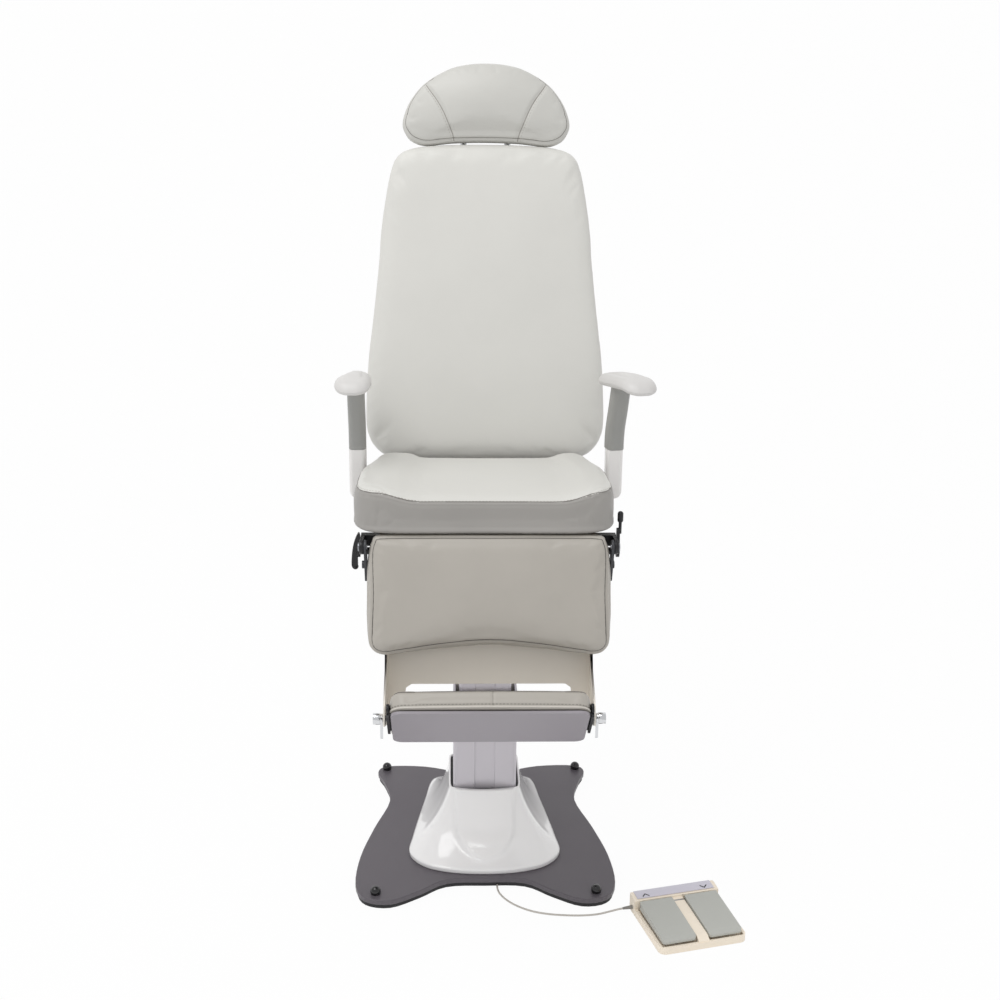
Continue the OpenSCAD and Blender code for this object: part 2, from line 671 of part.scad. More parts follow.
module backrest_cushion() color("#cccbc6") back_space() translate([0, 0, 0]) rotate([90, 0, 0])
    pad(back_outline, back_t, back_edge_r, back_face_r, back_crown, 3, 3);
shell_inset = 10;
shell_edge_r = 8;
module backrest_shell() color("#d9d7d3") back_space() translate([0, board_gap, 0]) mirror([0, 1, 0])
    rotate([90, 0, 0])
    pad(inset(back_outline, shell_inset), back_shell_t, shell_edge_r / 4, shell_edge_r, clr, 2, 1);

// Link rods between the cranks of the backrest and of the legrest
module link_rods() color("#8e9096") both() plate_yz(link_x, link_t) difference() {
    union() {
        strap(back_pivot + crank, link_half, legrest_pivot + crank, link_half);
        hole(back_pivot + crank, crank_eye_r);
        hole(legrest_pivot + crank, crank_eye_r);
    }
    hole(back_pivot + crank, pin_r + play);
    hole(legrest_pivot + crank, pin_r + link_play);
}
link_half = 7;
link_play = 0.6;

// Gas springs under the seat: cylinders on the frame, rods with a slotted end
spring_r = 13;
spring_rod_r = 5;
spring_rest = back_pivot + spring_crank;
spring_out = 165;
spring_body_l = spring_rest[0] - spring_foot[0] - spring_out;
slot_half = 8.5;
slot_w = pin_r + 2;
spring_dir = spring_rest - [spring_foot[0] + eye_r, spring_foot[1]] - [0, slot_half];
spring_tilt = atan2(spring_dir[1], spring_dir[0]);
spring_rod_l = spring_body_l + spring_end_t * 2 - over;
module spring_cylinder() color("#26262a") both() {
    difference() {
        union() {
            translate([spring_x, spring_foot[0] + eye_r, spring_foot[1]]) rotate([-90 + spring_tilt, 0, 0])
                cylinder(r = spring_r, h = spring_body_l);
            plate_yz(spring_x - spring_end_t / 2, spring_end_t)
                strap(spring_foot, crank_eye_r, spring_foot + [eye_r * 2, 0], crank_eye_r * 0.8);
        }
        translate([spring_x, spring_foot[0] + eye_r, spring_foot[1]]) rotate([-90 + spring_tilt, 0, 0])
            translate([0, 0, spring_r * 2]) cylinder(r = spring_rod_r + play, h = spring_body_l);
    }
    bar_x(spring_x + spring_end_t / 2, side_out, pin_r, spring_foot);
}
module spring_rod() color("#c9c9cc") both() {
    reach = norm(spring_dir) - slot_w;
    translate([spring_x, spring_foot[0] + eye_r, spring_foot[1]]) rotate([-90 + spring_tilt, 0, 0])
        translate([0, 0, reach - spring_rod_l]) cylinder(r = spring_rod_r, h = spring_rod_l);
    // Slotted end that takes up the arc of the crank pin
    plate_yz(spring_x - spring_end_t / 2, spring_end_t) difference() {
        translate(spring_rest - [0, slot_half])
            polygon(rounded((slot_w + pin_r) * 2, (slot_half + slot_w + pin_r) * 2, pin_r));
        translate(spring_rest - [0, slot_half])
            polygon(rounded(slot_w * 2, (slot_half + slot_w) * 2, slot_w * 0.9));
    }
}

// Headrest, in the backrest's space
head_drop = 6;
head_low = back_low + back_l - head_drop;
head_board_t = 9;
head_y = -8;
head_pin_up = 66;
head_pin = [guide_y, head_low + head_pin_up];
head_pin_r = 5;
head_lug_x = 30;
head_lug_t = 6;
post_tail = 120;
post_low = guide_low - post_tail;
post_top = head_pin[1] - head_pin_r * 4;
post_head_h = 8;
head_shares = [[0, 0.085], [0.4, 0.05], [0.74, 0], [0.92, 0.09], [1, 0.3], [0.98, 0.46], [0.93, 0.6],
    [0.85, 0.72], [0.71, 0.84], [0.5, 0.94], [0.25, 0.99], [0, 1]];
head_outline = smooth(mirrored([for (q = head_shares) [q[0] * head_w / 2, q[1] * head_h + head_low]]), 2);
head_edge_r = 20;
head_face_r = 30;
head_crown = 12;
module headrest_posts() color("#c9c9cc") back_space() {
    for (s = [-1, 1]) translate([s * head_post_span / 2, guide_y, post_low])
        cylinder(r = head_post_d / 2, h = post_top - post_low);
    // Cross head with the eye of the tilt pin
    difference() {
        union() {
            translate([-head_post_span / 2 - head_post_d / 2, guide_y - head_post_d / 2, post_top])
                cube([head_post_span + head_post_d, head_post_d, post_head_h]);
            translate([-head_lug_x + clr, 0, 0]) rotate([90, 0, 90]) linear_extrude(head_lug_x * 2 - clr * 2)
                strap(head_pin, head_pin_r * 2, [head_pin[0], post_top + head_pin_r], head_pin_r);
        }
        bar_x(-head_lug_x, head_lug_x, head_pin_r + play, head_pin);
    }
}
module headrest_hinge_pin() color("#8e9096") back_space()
    bar_x(-head_lug_x - head_lug_t, head_lug_x + head_lug_t, head_pin_r, head_pin);
module headrest_board() color("#2a2a2d") back_space() {
    translate([0, head_y + head_board_t, 0]) rotate([90, 0, 0]) linear_extrude(head_board_t)
        polygon(inset(head_outline, shell_inset));
    // Ears that hold the tilt pin
    both() plate_yz(head_lug_x, head_lug_t) difference() {
        strap(head_pin, head_pin_r * 2 - clr, [head_y + head_board_t + head_pin_r, head_pin[1]], head_pin_r * 2);
        hole(head_pin, head_pin_r + play);
    }
}
module headrest_cushion() color("#c6c5c1") back_space() translate([0, head_y - board_gap, 0]) rotate([90, 0, 0])
    pad(head_outline, head_t, head_edge_r, head_face_r, head_crown, 3, 3);

// Upper arms: a leaning upright on a spigot, and the pad that it carries
arm_swing = [0, 25];
arm_lean = 13;
arm_neck = 14;
pad_ahead = 26;
arm_high_y = -(arm_high - arm_split - arm_neck) * tan(arm_lean);
module arm_space(side) translate([side * arm_x, arm_y, 0])
    rotate([0, 0, side > 0 ? arm_swing[1] : -arm_swing[0]]) children();
module arm_upper() {
    // Leaning upright whose top is cut along the underside of the pad
    translate([0, 0, arm_split + clr]) loft([for (q = [[0, 0, 0], [arm_neck, 0, 0], [arm_neck * 3, 0.12, 0],
        [arm_neck * 6, 0.55, 0], [arm_high - arm_split - clr * 2, 1, tan(arm_rise)]])
        [for (p = rounded(post_w, post_d, post_w / 3, 4))
            [p[0], p[1] + q[1] * arm_high_y, q[0] - q[2] * (p[1] + pad_ahead)]]]);
    translate([0, 0, arm_split - spigot_post_h + clr]) cylinder(r = spigot_post_r, h = spigot_post_h + clr);
}
module arm_pad() translate([0, arm_high_y - pad_ahead, arm_high]) rotate([-arm_rise, 0, 0]) {
    pad(smooth(mirrored(scaled(arm_pad_shares, arm_pad_w / 2, arm_pad_l)), 2), arm_pad_t, arm_pad_t * 0.3,
        arm_pad_t * 0.55, arm_pad_t * 0.2, 3, 2);
}
arm_pad_t = 30;
arm_pad_shares = [[0, -0.5], [0.45, -0.49], [0.85, -0.43], [1, -0.3], [0.98, -0.1], [0.86, 0.15],
    [0.78, 0.36], [0.6, 0.47], [0, 0.5]];
module arm_upper_left() color("#bfc0bc") arm_space(-1) arm_upper();
module arm_upper_right() color("#bfc0bc") arm_space(1) arm_upper();
module arm_pad_left() color("#e2e0de") arm_space(-1) arm_pad();
module arm_pad_right() color("#e2e0de") arm_space(1) arm_pad();

// Legrest, in the space of its lean
board_t = 7.5;
leg_board_y = leg_t / 2 + board_gap;
leg_frame_y = leg_board_y + board_t;
bar_t = 8;
bar_z = [-64, -42];
bar_p = [leg_frame_y + bar_t / 2, (bar_z[0] + bar_z[1]) / 2];
bar_r = (bar_z[1] - bar_z[0]) / 2;
leg_rail_inset = 43;
leg_rail_x = ext_w / 2 - leg_rail_inset;
leg_rail_w = 20;
leg_rail_t = 21;
leg_low = leg_top - leg_l;
leg_rail_up = 11;
leg_rail_low = leg_low + leg_rail_up;
leg_shares = [[0, 0.085], [0.4, 0.055], [0.72, 0.008], [0.88, 0], [0.97, 0.05], [1, 0.16], [0.995, 0.5],
    [1, 0.8], [0.975, 0.93], [0.9, 0.99], [0.5, 1], [0, 1]];
leg_outline = smooth(mirrored([for (q = leg_shares) [q[0] * leg_w / 2, q[1] * leg_l + leg_low]]), 2);
leg_edge_r = 12;
leg_face_r = 20;
leg_crown = 5;
module legrest_pad() color("#b6b2aa") leg_space() translate([0, leg_t / 2, 0]) rotate([90, 0, 0])
    pad(leg_outline, leg_t, leg_edge_r, leg_face_r, leg_crown, 3, 3);
module legrest_board() color("#2a2a2d") leg_space() translate([0, leg_board_y + board_t, 0]) rotate([90, 0, 0])
    linear_extrude(board_t) difference() {
        polygon(inset(leg_outline, shell_inset));
        translate([-leg_w, 0]) square([leg_w * 2, leg_w]);
    }
module legrest_frame() color("#3b3c40") leg_space() {
    both() {
        // Arm that hangs on the pivot pin beside the pad
        plate_yz(leg_arm_x, leg_arm_t) difference() {
            strap([0, 0], eye_r, bar_p, bar_r);
            hole([0, 0], pin_r + play);
        }
        // Guide rail of the extension, and the crank of the link rod
        block(leg_rail_x, leg_rail_x + leg_rail_w, leg_frame_y, leg_frame_y + leg_rail_t, leg_rail_low, bar_z[1]);
        plate_yz(crank_x, crank_t - clr) {
            strap(bar_p, bar_t / 2 - clr, in_leg(crank), crank_eye_r);
            polygon([bar_p - [bar_t / 2 - clr, bar_r - clr], in_leg(crank), bar_p + [clr - bar_t / 2, bar_r - clr]]);
        }
        bar_x(crank_x, knob_end, pin_r, in_leg(crank));
        bar_x(link_x + link_t + clr * 3, knob_end, crank_knob_r, in_leg(crank));
    }
    block(-leg_arm_x - leg_arm_t, leg_arm_x + leg_arm_t, leg_frame_y, leg_frame_y + bar_t, bar_z[0], bar_z[1]);
}
knob_end = ear_x + ear_t - over;
crank_knob_r = 7.5;

// Extension plate that slides behind the rails and carries the footrest between its flanges
ext_y = leg_frame_y + leg_rail_t + clr;
ext_top = bar_z[0] - over;
foot_pivot_ahead = 28;
foot_pivot_drop = 113;
foot_pivot = [-foot_pivot_ahead, leg_low - foot_pivot_drop];
foot_eye_r = 15;
ext_below = 22;
ext_low = foot_pivot[1] - ext_below;
window_side = 62;
window_w = ext_w - window_side * 2;
window_drop = 23;
window_top = leg_low - window_drop;
window_up = 8;
window_low = foot_pivot[1] + window_up;
window_r = 12;
module ext_outline() difference() {
    translate([-ext_w / 2, ext_low]) square([ext_w, ext_top - ext_low]);
    translate([0, (window_top + window_low) / 2]) polygon(rounded(window_w, window_top - window_low, window_r, 2));
}
module extension_plate() color("#d2cdc4") leg_space() {
    translate([0, ext_y + ext_t, 0]) rotate([90, 0, 0]) linear_extrude(ext_t) ext_outline();
    both() plate_yz(ext_w / 2 - ext_t, ext_t) difference() {
        polygon([[leg_frame_y + clr, ext_top], [leg_frame_y + clr, leg_low - leg_top * 0.5],
            foot_pivot + foot_eye_r * [-0.8, 1.6], foot_pivot - [foot_eye_r, 0], foot_pivot - foot_eye_r * [0.6, 0.9],
            [ext_y + ext_t / 2, ext_low], [ext_y + ext_t / 2, ext_top]]);
        hole(foot_pivot, foot_shaft_r + play);
    }
}
foot_shaft_r = 6;
clamp_x = ext_w / 2 + clr * 2;
clamp_t = 5;
clamp_knob_r = 10.5;
clamp_knob_l = 13;
module footrest_pivot() color("#d5d6d8") leg_space()
    bar_x(-clamp_x - clamp_t - clr, clamp_x + clamp_t + clr, foot_shaft_r, foot_pivot);
module clamp_lever() difference() {
    union() {
        bar_x(clamp_x, clamp_x + clamp_t, clamp_knob_r * 0.9, [0, 0]);
        bar_x(clamp_x + clamp_t, clamp_x + clamp_t + clamp_knob_l, clamp_knob_r, [0, 0]);
        plate_yz(clamp_x, clamp_t) strap([0, 0], foot_shaft_r + clr, [0, -clamp_l], clamp_t * 0.7);
    }
    bar_x(clamp_x - over, clamp_x + clamp_t + over, foot_shaft_r + play, [0, 0]);
}
clamp_l = 36;
// The clamp levers hang straight down from the pivot
module foot_point() leg_space() translate([0, foot_pivot[0], foot_pivot[1]]) rotate([leg_lean, 0, 0]) children();
module clamp_lever_left() color("#d5d6d8") foot_point() mirror([1, 0, 0]) clamp_lever();
module clamp_lever_right() color("#d5d6d8") foot_point() clamp_lever();

// Footrest, folded part way up about the shaft through its side brackets
foot_back = 76;
foot_board_t = 6;
foot_flange_t = 2;
foot_under = 14;
foot_corner_r = 20;
module foot_space() foot_point() rotate([-foot_fold, 0, 0]) children();
tread_outline = [for (p = rounded(foot_w, foot_l, foot_corner_r, 4)) [p[0], p[1] + foot_back - foot_l / 2]];
module footrest_board() color("#918c92") foot_space() translate([0, 0, -foot_under - foot_board_t])
    linear_extrude(foot_board_t) polygon(inset(tread_outline, clr * 4));
module footrest_pad() color("#cdc9c1") foot_space() difference() {
    translate([0, 0, foot_flange_t + board_gap - foot_under]) pad(tread_outline, foot_t, clr * 4, 9, 3, 2, 2);
    // Room for the pivot shaft through the foam
    bar_x(-foot_w, foot_w, foot_shaft_r + clr, [0, 0]);
}
bracket_x = foot_w / 2 + clr * 2;
module footrest_brackets() color("#1b1a1d") foot_space() both() {
    plate_yz(bracket_x, foot_bracket_t) difference() {
        union() {
            strap([0, 0], foot_eye_r * 0.9, [-foot_l + foot_back + foot_corner_r, -foot_under + foot_t * 0.3],
                foot_eye_r * 0.6);
            translate([-foot_l * 0.38, -foot_under - foot_board_t]) square([foot_l * 0.55, foot_board_t * 2]);
        }
        hole([0, 0], foot_shaft_r + play);
    }
    // Flange of the bracket, held between the board and the pad
    block(foot_w * 0.4, bracket_x + foot_bracket_t, -foot_l * 0.38, foot_l * 0.17, -foot_under,
        foot_flange_t - foot_under);
}

// Foot switch
// Place of the foot switch, from the front corner of the floor plate's box
switch_at = [126.5, -60];
switch_p = [base_w / 2, -base_d / 2] + switch_at;
tray_h = 14;
tray_wall = 7;
ridge_h = 34;
ridge_l = 38;
bridge_w = 22;
bridge_h = 27;
pedal_l = 122;
pedal_low = 17;
pedal_rear_h = 33;
pedal_front_h = 25;
pedal_gap = 2;
axle_r = 3;
axle_back = 10;
axle_z = 25;
axle_p = [switch_l / 2 - ridge_l - axle_back, axle_z];
module switch_space() translate([switch_p[0], switch_p[1], 0]) rotate([0, 0, switch_turn]) children();
pedal_y = [-switch_l / 2 + tray_wall, switch_l / 2 - ridge_l - pedal_gap];
pedal_x = bridge_w / 2 + pedal_gap;
pedal_w = switch_w / 2 - pedal_x - tray_wall - over;
module switch_housing() color("#e4dcd0") switch_space() difference() {
    union() {
        linear_extrude(tray_h) polygon(rounded(switch_w, switch_l, tray_wall * 2));
        intersection() {
            linear_extrude(ridge_h) polygon(rounded(switch_w, switch_l, tray_wall * 2));
            plate_yz(-switch_w / 2, switch_w) translate([switch_l / 2, 0]) polygon([[-ridge_l, 0], [0, 0],
                [0, ridge_h * 0.8], [-ridge_l * 0.25, ridge_h], [-ridge_l * 0.5, ridge_h],
                [-ridge_l, ridge_h * 0.92]]);
        }
        plate_yz(-bridge_w / 2, bridge_w) polygon([[-switch_l / 2 + over, tray_h / 2], [switch_l / 2 - ridge_l, tray_h / 2],
            [switch_l / 2 - ridge_l, bridge_h + over], [-switch_l / 2 + tray_wall * 2, bridge_h * 0.82],
            [-switch_l / 2 + over, bridge_h * 0.6]]);
    }
    // Wells below the pedals
    both() translate([pedal_x - pedal_gap, pedal_y[0] - pedal_gap, tray_h / 2])
        cube([pedal_w + pedal_gap * 2, switch_l - ridge_l - tray_wall + pedal_gap, ridge_h]);
    bar_x(-switch_w / 2 + tray_wall / 2, switch_w / 2 - tray_wall / 2, axle_r + play, axle_p);
}
module switch_axle() color("#8e9096") switch_space() bar_x(-pedal_x - pedal_w, pedal_x + pedal_w, axle_r, axle_p);
strip_t = 1.2;
module switch_strip() color("#b9b6c4") switch_space()
    translate([-switch_w / 2 + tray_wall * 2, switch_l / 2 - ridge_l * 0.5, ridge_h + board_gap / 3])
    cube([switch_w - tray_wall * 4, ridge_l * 0.25, strip_t]);
module pedal() difference() {
    intersection() {
        translate([pedal_x + pedal_w / 2, (pedal_y[0] + pedal_y[1]) / 2, 0]) linear_extrude(ridge_h * 2)
            polygon(rounded(pedal_w, pedal_y[1] - pedal_y[0], tray_wall));
        plate_yz(pedal_x, pedal_w) polygon([[pedal_y[0], pedal_low], [pedal_y[1], pedal_low],
            [pedal_y[1], pedal_rear_h - tray_wall / 2], [pedal_y[1] - tray_wall / 2, pedal_rear_h],
            [pedal_y[0] + tray_wall, pedal_front_h], [pedal_y[0], pedal_front_h - tray_wall / 2]]);
    }
    bar_x(pedal_x - over, pedal_x + pedal_w + over, axle_r + play, axle_p);
}
module pedal_up() color("#a9aba6") switch_space() mirror([1, 0, 0]) pedal();
module pedal_down() color("#a9aba6") switch_space() pedal();

// Lead of the foot switch, from under the floor plate to its strain relief
relief_l = 20;
relief_y = 62;
relief_z = 12;
relief_r = 4;
cord_r = 1.9;
module cord_strain_relief() color("#8d8a86") switch_space()
    translate([-switch_w / 2, relief_y, relief_z]) rotate([0, -90, 0])
        cylinder(r1 = relief_r, r2 = cord_r + clr, h = relief_l);
cord_route = [[24, -209.4, 2.5], [24, -222, 2.5], [28, -240, 2.2], [40, -262, 2], [60, -284, 2],
    [88, -303, 2], [120, -314, 2], [154, -319, 2], [188, -321, 2.5], [218, -321, 5], [242, -318, 9],
    [258, -315, 11.5], [267.9, -312.5, 12]];
function cross3(a, b) = [a[1] * b[2] - a[2] * b[1], a[2] * b[0] - a[0] * b[2], a[0] * b[1] - a[1] * b[0]];
cord_last = len(cord_route) - 1;
cord_path = concat([for (i = [0:cord_last - 1], k = [0:3]) along_curve(cord_route[max(0, i - 1)],
    cord_route[i], cord_route[i + 1], cord_route[min(cord_last, i + 2)], k / 4)], [cord_route[cord_last]]);
module switch_cord() color("#b4b0aa") loft([for (i = [0:len(cord_path) - 1])
    let (along = unit(cord_path[min(i + 1, len(cord_path) - 1)] - cord_path[max(i - 1, 0)]),
        side = unit(cross3(along, [0, 0, 1])), up = cross3(side, along))
    [for (k = [0:7]) cord_path[i] + cord_r * (cos(45 * k) * side - sin(45 * k) * up)]]);

base_plate();
base_underlay();
leveller_caps();
outer_column();
column_glides();
column_cover();
column_wiper();
lift_motor();
switch_housing();
switch_strip();
switch_axle();
switch_cord();
cord_strain_relief();
inner_column();
lift_screw();
top_flange();
swivel_bearing();
swivel_hub();
seat_frame();
seat_pan();
seat_cushion();
arm_bracket_left();
arm_bracket_right();
arm_post_left();
arm_post_right();
arm_post_plugs();
legrest_brackets();
legrest_pins();
lever_shaft();
backrest_frame();
backrest_shell();
backrest_cushion();
recline_shaft();
link_rods();
spring_cylinder();
spring_rod();
headrest_posts();
headrest_hinge_pin();
headrest_board();
headrest_cushion();
arm_upper_left();
arm_upper_right();
arm_pad_left();
arm_pad_right();
legrest_frame();
legrest_board();
legrest_pad();
extension_plate();
footrest_pivot();
footrest_brackets();
footrest_board();
footrest_pad();
clamp_lever_left();
clamp_lever_right();
recline_lever();
swivel_lever();
pedal_up();
pedal_down();
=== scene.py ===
import math

import bmesh
import bpy
import numpy as np
from mathutils import Matrix, Vector
from mathutils.bvhtree import BVHTree


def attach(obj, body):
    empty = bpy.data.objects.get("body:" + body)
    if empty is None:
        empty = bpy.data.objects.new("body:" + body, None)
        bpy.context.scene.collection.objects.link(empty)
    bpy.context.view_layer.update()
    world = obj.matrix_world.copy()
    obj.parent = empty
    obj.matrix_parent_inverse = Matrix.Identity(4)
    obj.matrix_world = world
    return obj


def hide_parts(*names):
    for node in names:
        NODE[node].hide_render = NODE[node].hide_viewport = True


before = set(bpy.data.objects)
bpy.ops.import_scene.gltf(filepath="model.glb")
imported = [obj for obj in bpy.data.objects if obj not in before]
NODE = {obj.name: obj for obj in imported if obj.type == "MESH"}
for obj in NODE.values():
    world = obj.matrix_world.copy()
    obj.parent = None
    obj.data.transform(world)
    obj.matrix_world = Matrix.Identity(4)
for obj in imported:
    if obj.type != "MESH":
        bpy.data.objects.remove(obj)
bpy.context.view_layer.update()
scene = bpy.context.scene

# Camera

# The photograph was taken a little to the left of the chair, from about 1.6 m up, with the camera held
# a little askew
VIEW_TURN, VIEW_TILT, VIEW_ROLL = math.radians(-2.0), math.radians(16.83), math.radians(0.65)
VIEW_BACK, VIEW_UP, VIEW_ASIDE = 2.760, 1.593, 0.028
SENSOR_MM, FOCAL_SHARE = 36, 1.426
turned = Matrix.Rotation(VIEW_TURN, 3, "Z")
camera = bpy.data.objects.new("camera", bpy.data.cameras.new("camera"))
camera.data.sensor_width = SENSOR_MM
camera.data.lens = SENSOR_MM * FOCAL_SHARE
camera.location = turned @ Vector((VIEW_ASIDE, -VIEW_BACK, VIEW_UP))
camera.rotation_euler = (turned @ Matrix.Rotation(math.pi / 2 - VIEW_TILT, 3, "X")
                         @ Matrix.Rotation(VIEW_ROLL, 3, "Z")).to_euler()
scene.collection.objects.link(camera)
scene.camera = camera

# Curves


def between(a, b, c, d, t):
    """Point a share t of the way from b to c on the smooth curve through a, b, c and d."""
    a, b, c, d = (np.array(p, float) for p in (a, b, c, d))
    return (2 * b + (c - a) * t + (2 * a - 5 * b + 4 * c - d) * t * t + (3 * b - a - 3 * c + d) * t ** 3) / 2


def closed_curve(points, n):
    m = len(points)
    return np.array([between(points[i - 1], points[i], points[(i + 1) % m], points[(i + 2) % m], k / n)
                     for i in range(m) for k in range(n)])


def open_curve(points, n):
    m = len(points) - 1
    path = [between(points[max(0, i - 1)], points[i], points[i + 1], points[min(m, i + 2)], k / n)
            for i in range(m) for k in range(n)]
    return np.array(path + [np.array(points[m], float)])


# Materials

def tint(code):
    """sRGB hex value as linear colour."""
    parts = [int(code[i:i + 2], 16) / 255 for i in (1, 3, 5)]
    return [p / 12.92 if p <= 0.04045 else ((p + 0.055) / 1.055) ** 2.4 for p in parts] + [1]


def add(tree, kind, settings=None, links=None):
    """One node, with its settings and what runs into it."""
    node = tree.nodes.new(kind)
    for key, value in (settings or {}).items():
        if isinstance(key, int) or key in node.inputs:
            node.inputs[key].default_value = value
        else:
            setattr(node, key, value)
    for key, source in (links or {}).items():
        tree.links.new(source, node.inputs[key])
    return node


# The range of a noise that is told apart, and the roughness of clear coats
CLOUD_LOW, CLOUD_HIGH, COAT_ROUGH, PLASTIC_IOR = 0.3, 0.7, 0.06, 1.5


def finish_of(name, colour, rough, metal=0.0, grain=None, mottle=0.03, patch=0.12, smudge=0.05,
              brushed=None, coat=0.0):
    """A moulded, coated or metal finish.

    grain is (cell size in mm, bump height in mm, strength), mottle how far the colour strays over patches
    of patch metres, smudge how far the roughness strays, brushed the stretch of the grain along Z."""
    material = bpy.data.materials.new(name)
    material.use_nodes = True
    tree = material.node_tree
    shader = tree.nodes["Principled BSDF"]
    for socket, value in (("Metallic", metal), ("IOR", PLASTIC_IOR), ("Coat Weight", coat),
                          ("Coat Roughness", COAT_ROUGH), ("Base Color", tint(colour)),
                          ("Roughness", rough)):
        shader.inputs[socket].default_value = value
    if not mottle:
        return material
    place = add(tree, "ShaderNodeTexCoord").outputs["Object"]
    if brushed:
        place = add(tree, "ShaderNodeMapping", {"Scale": (1, 1, brushed)}, {"Vector": place}).outputs[0]
    cloud = add(tree, "ShaderNodeTexNoise", {"Scale": 1 / patch, "Detail": 4.0, "Roughness": 0.6},
                {"Vector": place})
    base = np.array(tint(colour)[:3])
    ramp = add(tree, "ShaderNodeValToRGB", links={"Fac": cloud.outputs["Fac"]})
    dark, light = ramp.color_ramp.elements
    dark.position, light.position = CLOUD_LOW, CLOUD_HIGH
    dark.color = list(base * (1 - mottle)) + [1]
    light.color = list(np.minimum(1, base * (1 + mottle))) + [1]
    tree.links.new(ramp.outputs["Color"], shader.inputs["Base Color"])
    gloss = add(tree, "ShaderNodeMapRange",
                {"From Min": CLOUD_LOW, "From Max": CLOUD_HIGH,
                 "To Min": max(0.02, rough - smudge), "To Max": min(1, rough + smudge)},
                {"Value": cloud.outputs["Fac"]})
    tree.links.new(gloss.outputs["Result"], shader.inputs["Roughness"])
    if grain:
        size, height, strength = grain
        cells = add(tree, "ShaderNodeTexVoronoi",
                    {"Scale": 1000 / size, "feature": "SMOOTH_F1", "Smoothness": 0.6}, {"Vector": place})
        fine = add(tree, "ShaderNodeTexNoise", {"Scale": 1600 / size, "Detail": 2.0}, {"Vector": place})
        both = add(tree, "ShaderNodeMath", {"operation": "ADD"},
                   {0: cells.outputs["Distance"], 1: fine.outputs["Fac"]})
        bump = add(tree, "ShaderNodeBump", {"Strength": strength, "Distance": height / 1000},
                   {"Height": both.outputs[0]})
        tree.links.new(bump.outputs["Normal"], shader.inputs["Normal"])
    return material


# Grains that several finishes share: cell and height in mm, strength
LEATHER, ORANGE_PEEL, SPARK = (1.6, 0.10, 0.35), (2.0, 0.04, 0.2), (1.2, 0.04, 0.25)
# PVC-coated upholstery vinyl, embossed with a fine leather grain: soft, even, low gloss
VINYL = finish_of("upholstery_vinyl", "#dbdad5", 0.44, grain=LEATHER, mottle=0.018, patch=0.18, smudge=0.04)
# The same vinyl on the headrest, painted a little greyer as shade, since its face leans forward away from the
# light
VINYL_HEAD_SHADED = finish_of("upholstery_vinyl_headrest_painted_shade", "#cccbc6", 0.44, grain=LEATHER, mottle=0.018, patch=0.15)
# The boxing of the seat: the same vinyl painted darker as shade, since it faces the floor more than the light
VINYL_BOX_SHADED = finish_of("upholstery_vinyl_boxing_painted_shade", "#a09d99", 0.48, grain=LEATHER)
# The same vinyl on the legrest and footrest, a little warmer in tone, painted darker as shade since these
# faces catch less light
VINYL_LEG_SHADED = finish_of("upholstery_vinyl_legrest_painted_shade", "#b4afa7", 0.44, grain=LEATHER, mottle=0.025, patch=0.10)
# Polyester thread of the topstitching
THREAD = finish_of("polyester_thread", "#b9b5ae", 0.7, mottle=0.0)
THREAD_DARK = finish_of("polyester_thread_grey", "#8d8983", 0.7, mottle=0.0)
# Rolled vinyl welts: the legrest's is painted dark as the shadow in its seam, the footrest's lower one is
# pale
WELT_SHADOW = finish_of("vinyl_welt_painted_shadow", "#5c5955", 0.5, mottle=0.02)
WELT_PALE = finish_of("vinyl_welt_pale", "#d5d0c8", 0.42, mottle=0.02)
# Shadow in a folded seam, deep and shallow
SEAM_DARK = finish_of("vinyl_seam_fold", "#77736e", 0.6, mottle=0.0)
SEAM_SHADE = finish_of("vinyl_seam_fold_shallow", "#9b9791", 0.6, mottle=0.0)
# Powder-coated steel plate, dark grey with a slight violet cast and a fine orange peel
POWDER_DARK = finish_of("powder_coated_steel_dark", "#605b61", 0.42, grain=(2.2, 0.05, 0.25), patch=0.2)
# Powder-coated sheet, warm off-white, painted lighter than the paint itself as light that the legrest's shade
# takes from the plate
POWDER_BEIGE_LIT = finish_of("powder_coated_sheet_beige_painted_light", "#f8f2e8", 0.40, grain=ORANGE_PEEL, mottle=0.015)
# Satin paint on the hidden frame
FRAME_PAINT = finish_of("satin_frame_paint", "#3b3c40", 0.45, grain=ORANGE_PEEL, mottle=0.04)
# Anodised aluminium extrusion, drawn lengthwise
COLUMN_SATIN = finish_of("anodised_aluminium_column", "#cfcbd1", 0.36, metal=0.25,
                         grain=(1.2, 0.02, 0.12), mottle=0.02, brushed=0.04)
# Injection-moulded gloss ABS
ABS_GLOSS = finish_of("gloss_abs_cover", "#faf9f9", 0.10, mottle=0.008, smudge=0.02, coat=0.4)
ABS_WHITE = finish_of("gloss_abs_arm", "#efedeb", 0.24, mottle=0.01, smudge=0.03)
ABS_GREY = finish_of("satin_abs_arm", "#9d9d9a", 0.34, grain=(1.4, 0.03, 0.15), mottle=0.015)
ABS_SHELL = finish_of("satin_abs_shell", "#d9d7d3", 0.38, grain=(1.4, 0.04, 0.2), mottle=0.015)
ABS_CREAM = finish_of("fine_textured_abs_housing", "#fff2e0", 0.45, grain=SPARK, mottle=0.015)
ABS_PEDAL = finish_of("fine_textured_abs_pedal", "#bdbeb8", 0.5, grain=(1.2, 0.06, 0.4), mottle=0.02)
# Integral-skin polyurethane foam of the arm pads: closed, slightly soft skin
PU_SKIN = finish_of("polyurethane_skin", "#d8d6d4", 0.40, grain=(1.5, 0.05, 0.25), mottle=0.012)
# Laminate panel under the footrest
PANEL = finish_of("laminate_panel", "#9e999f", 0.5, grain=(1.5, 0.04, 0.2), mottle=0.02)
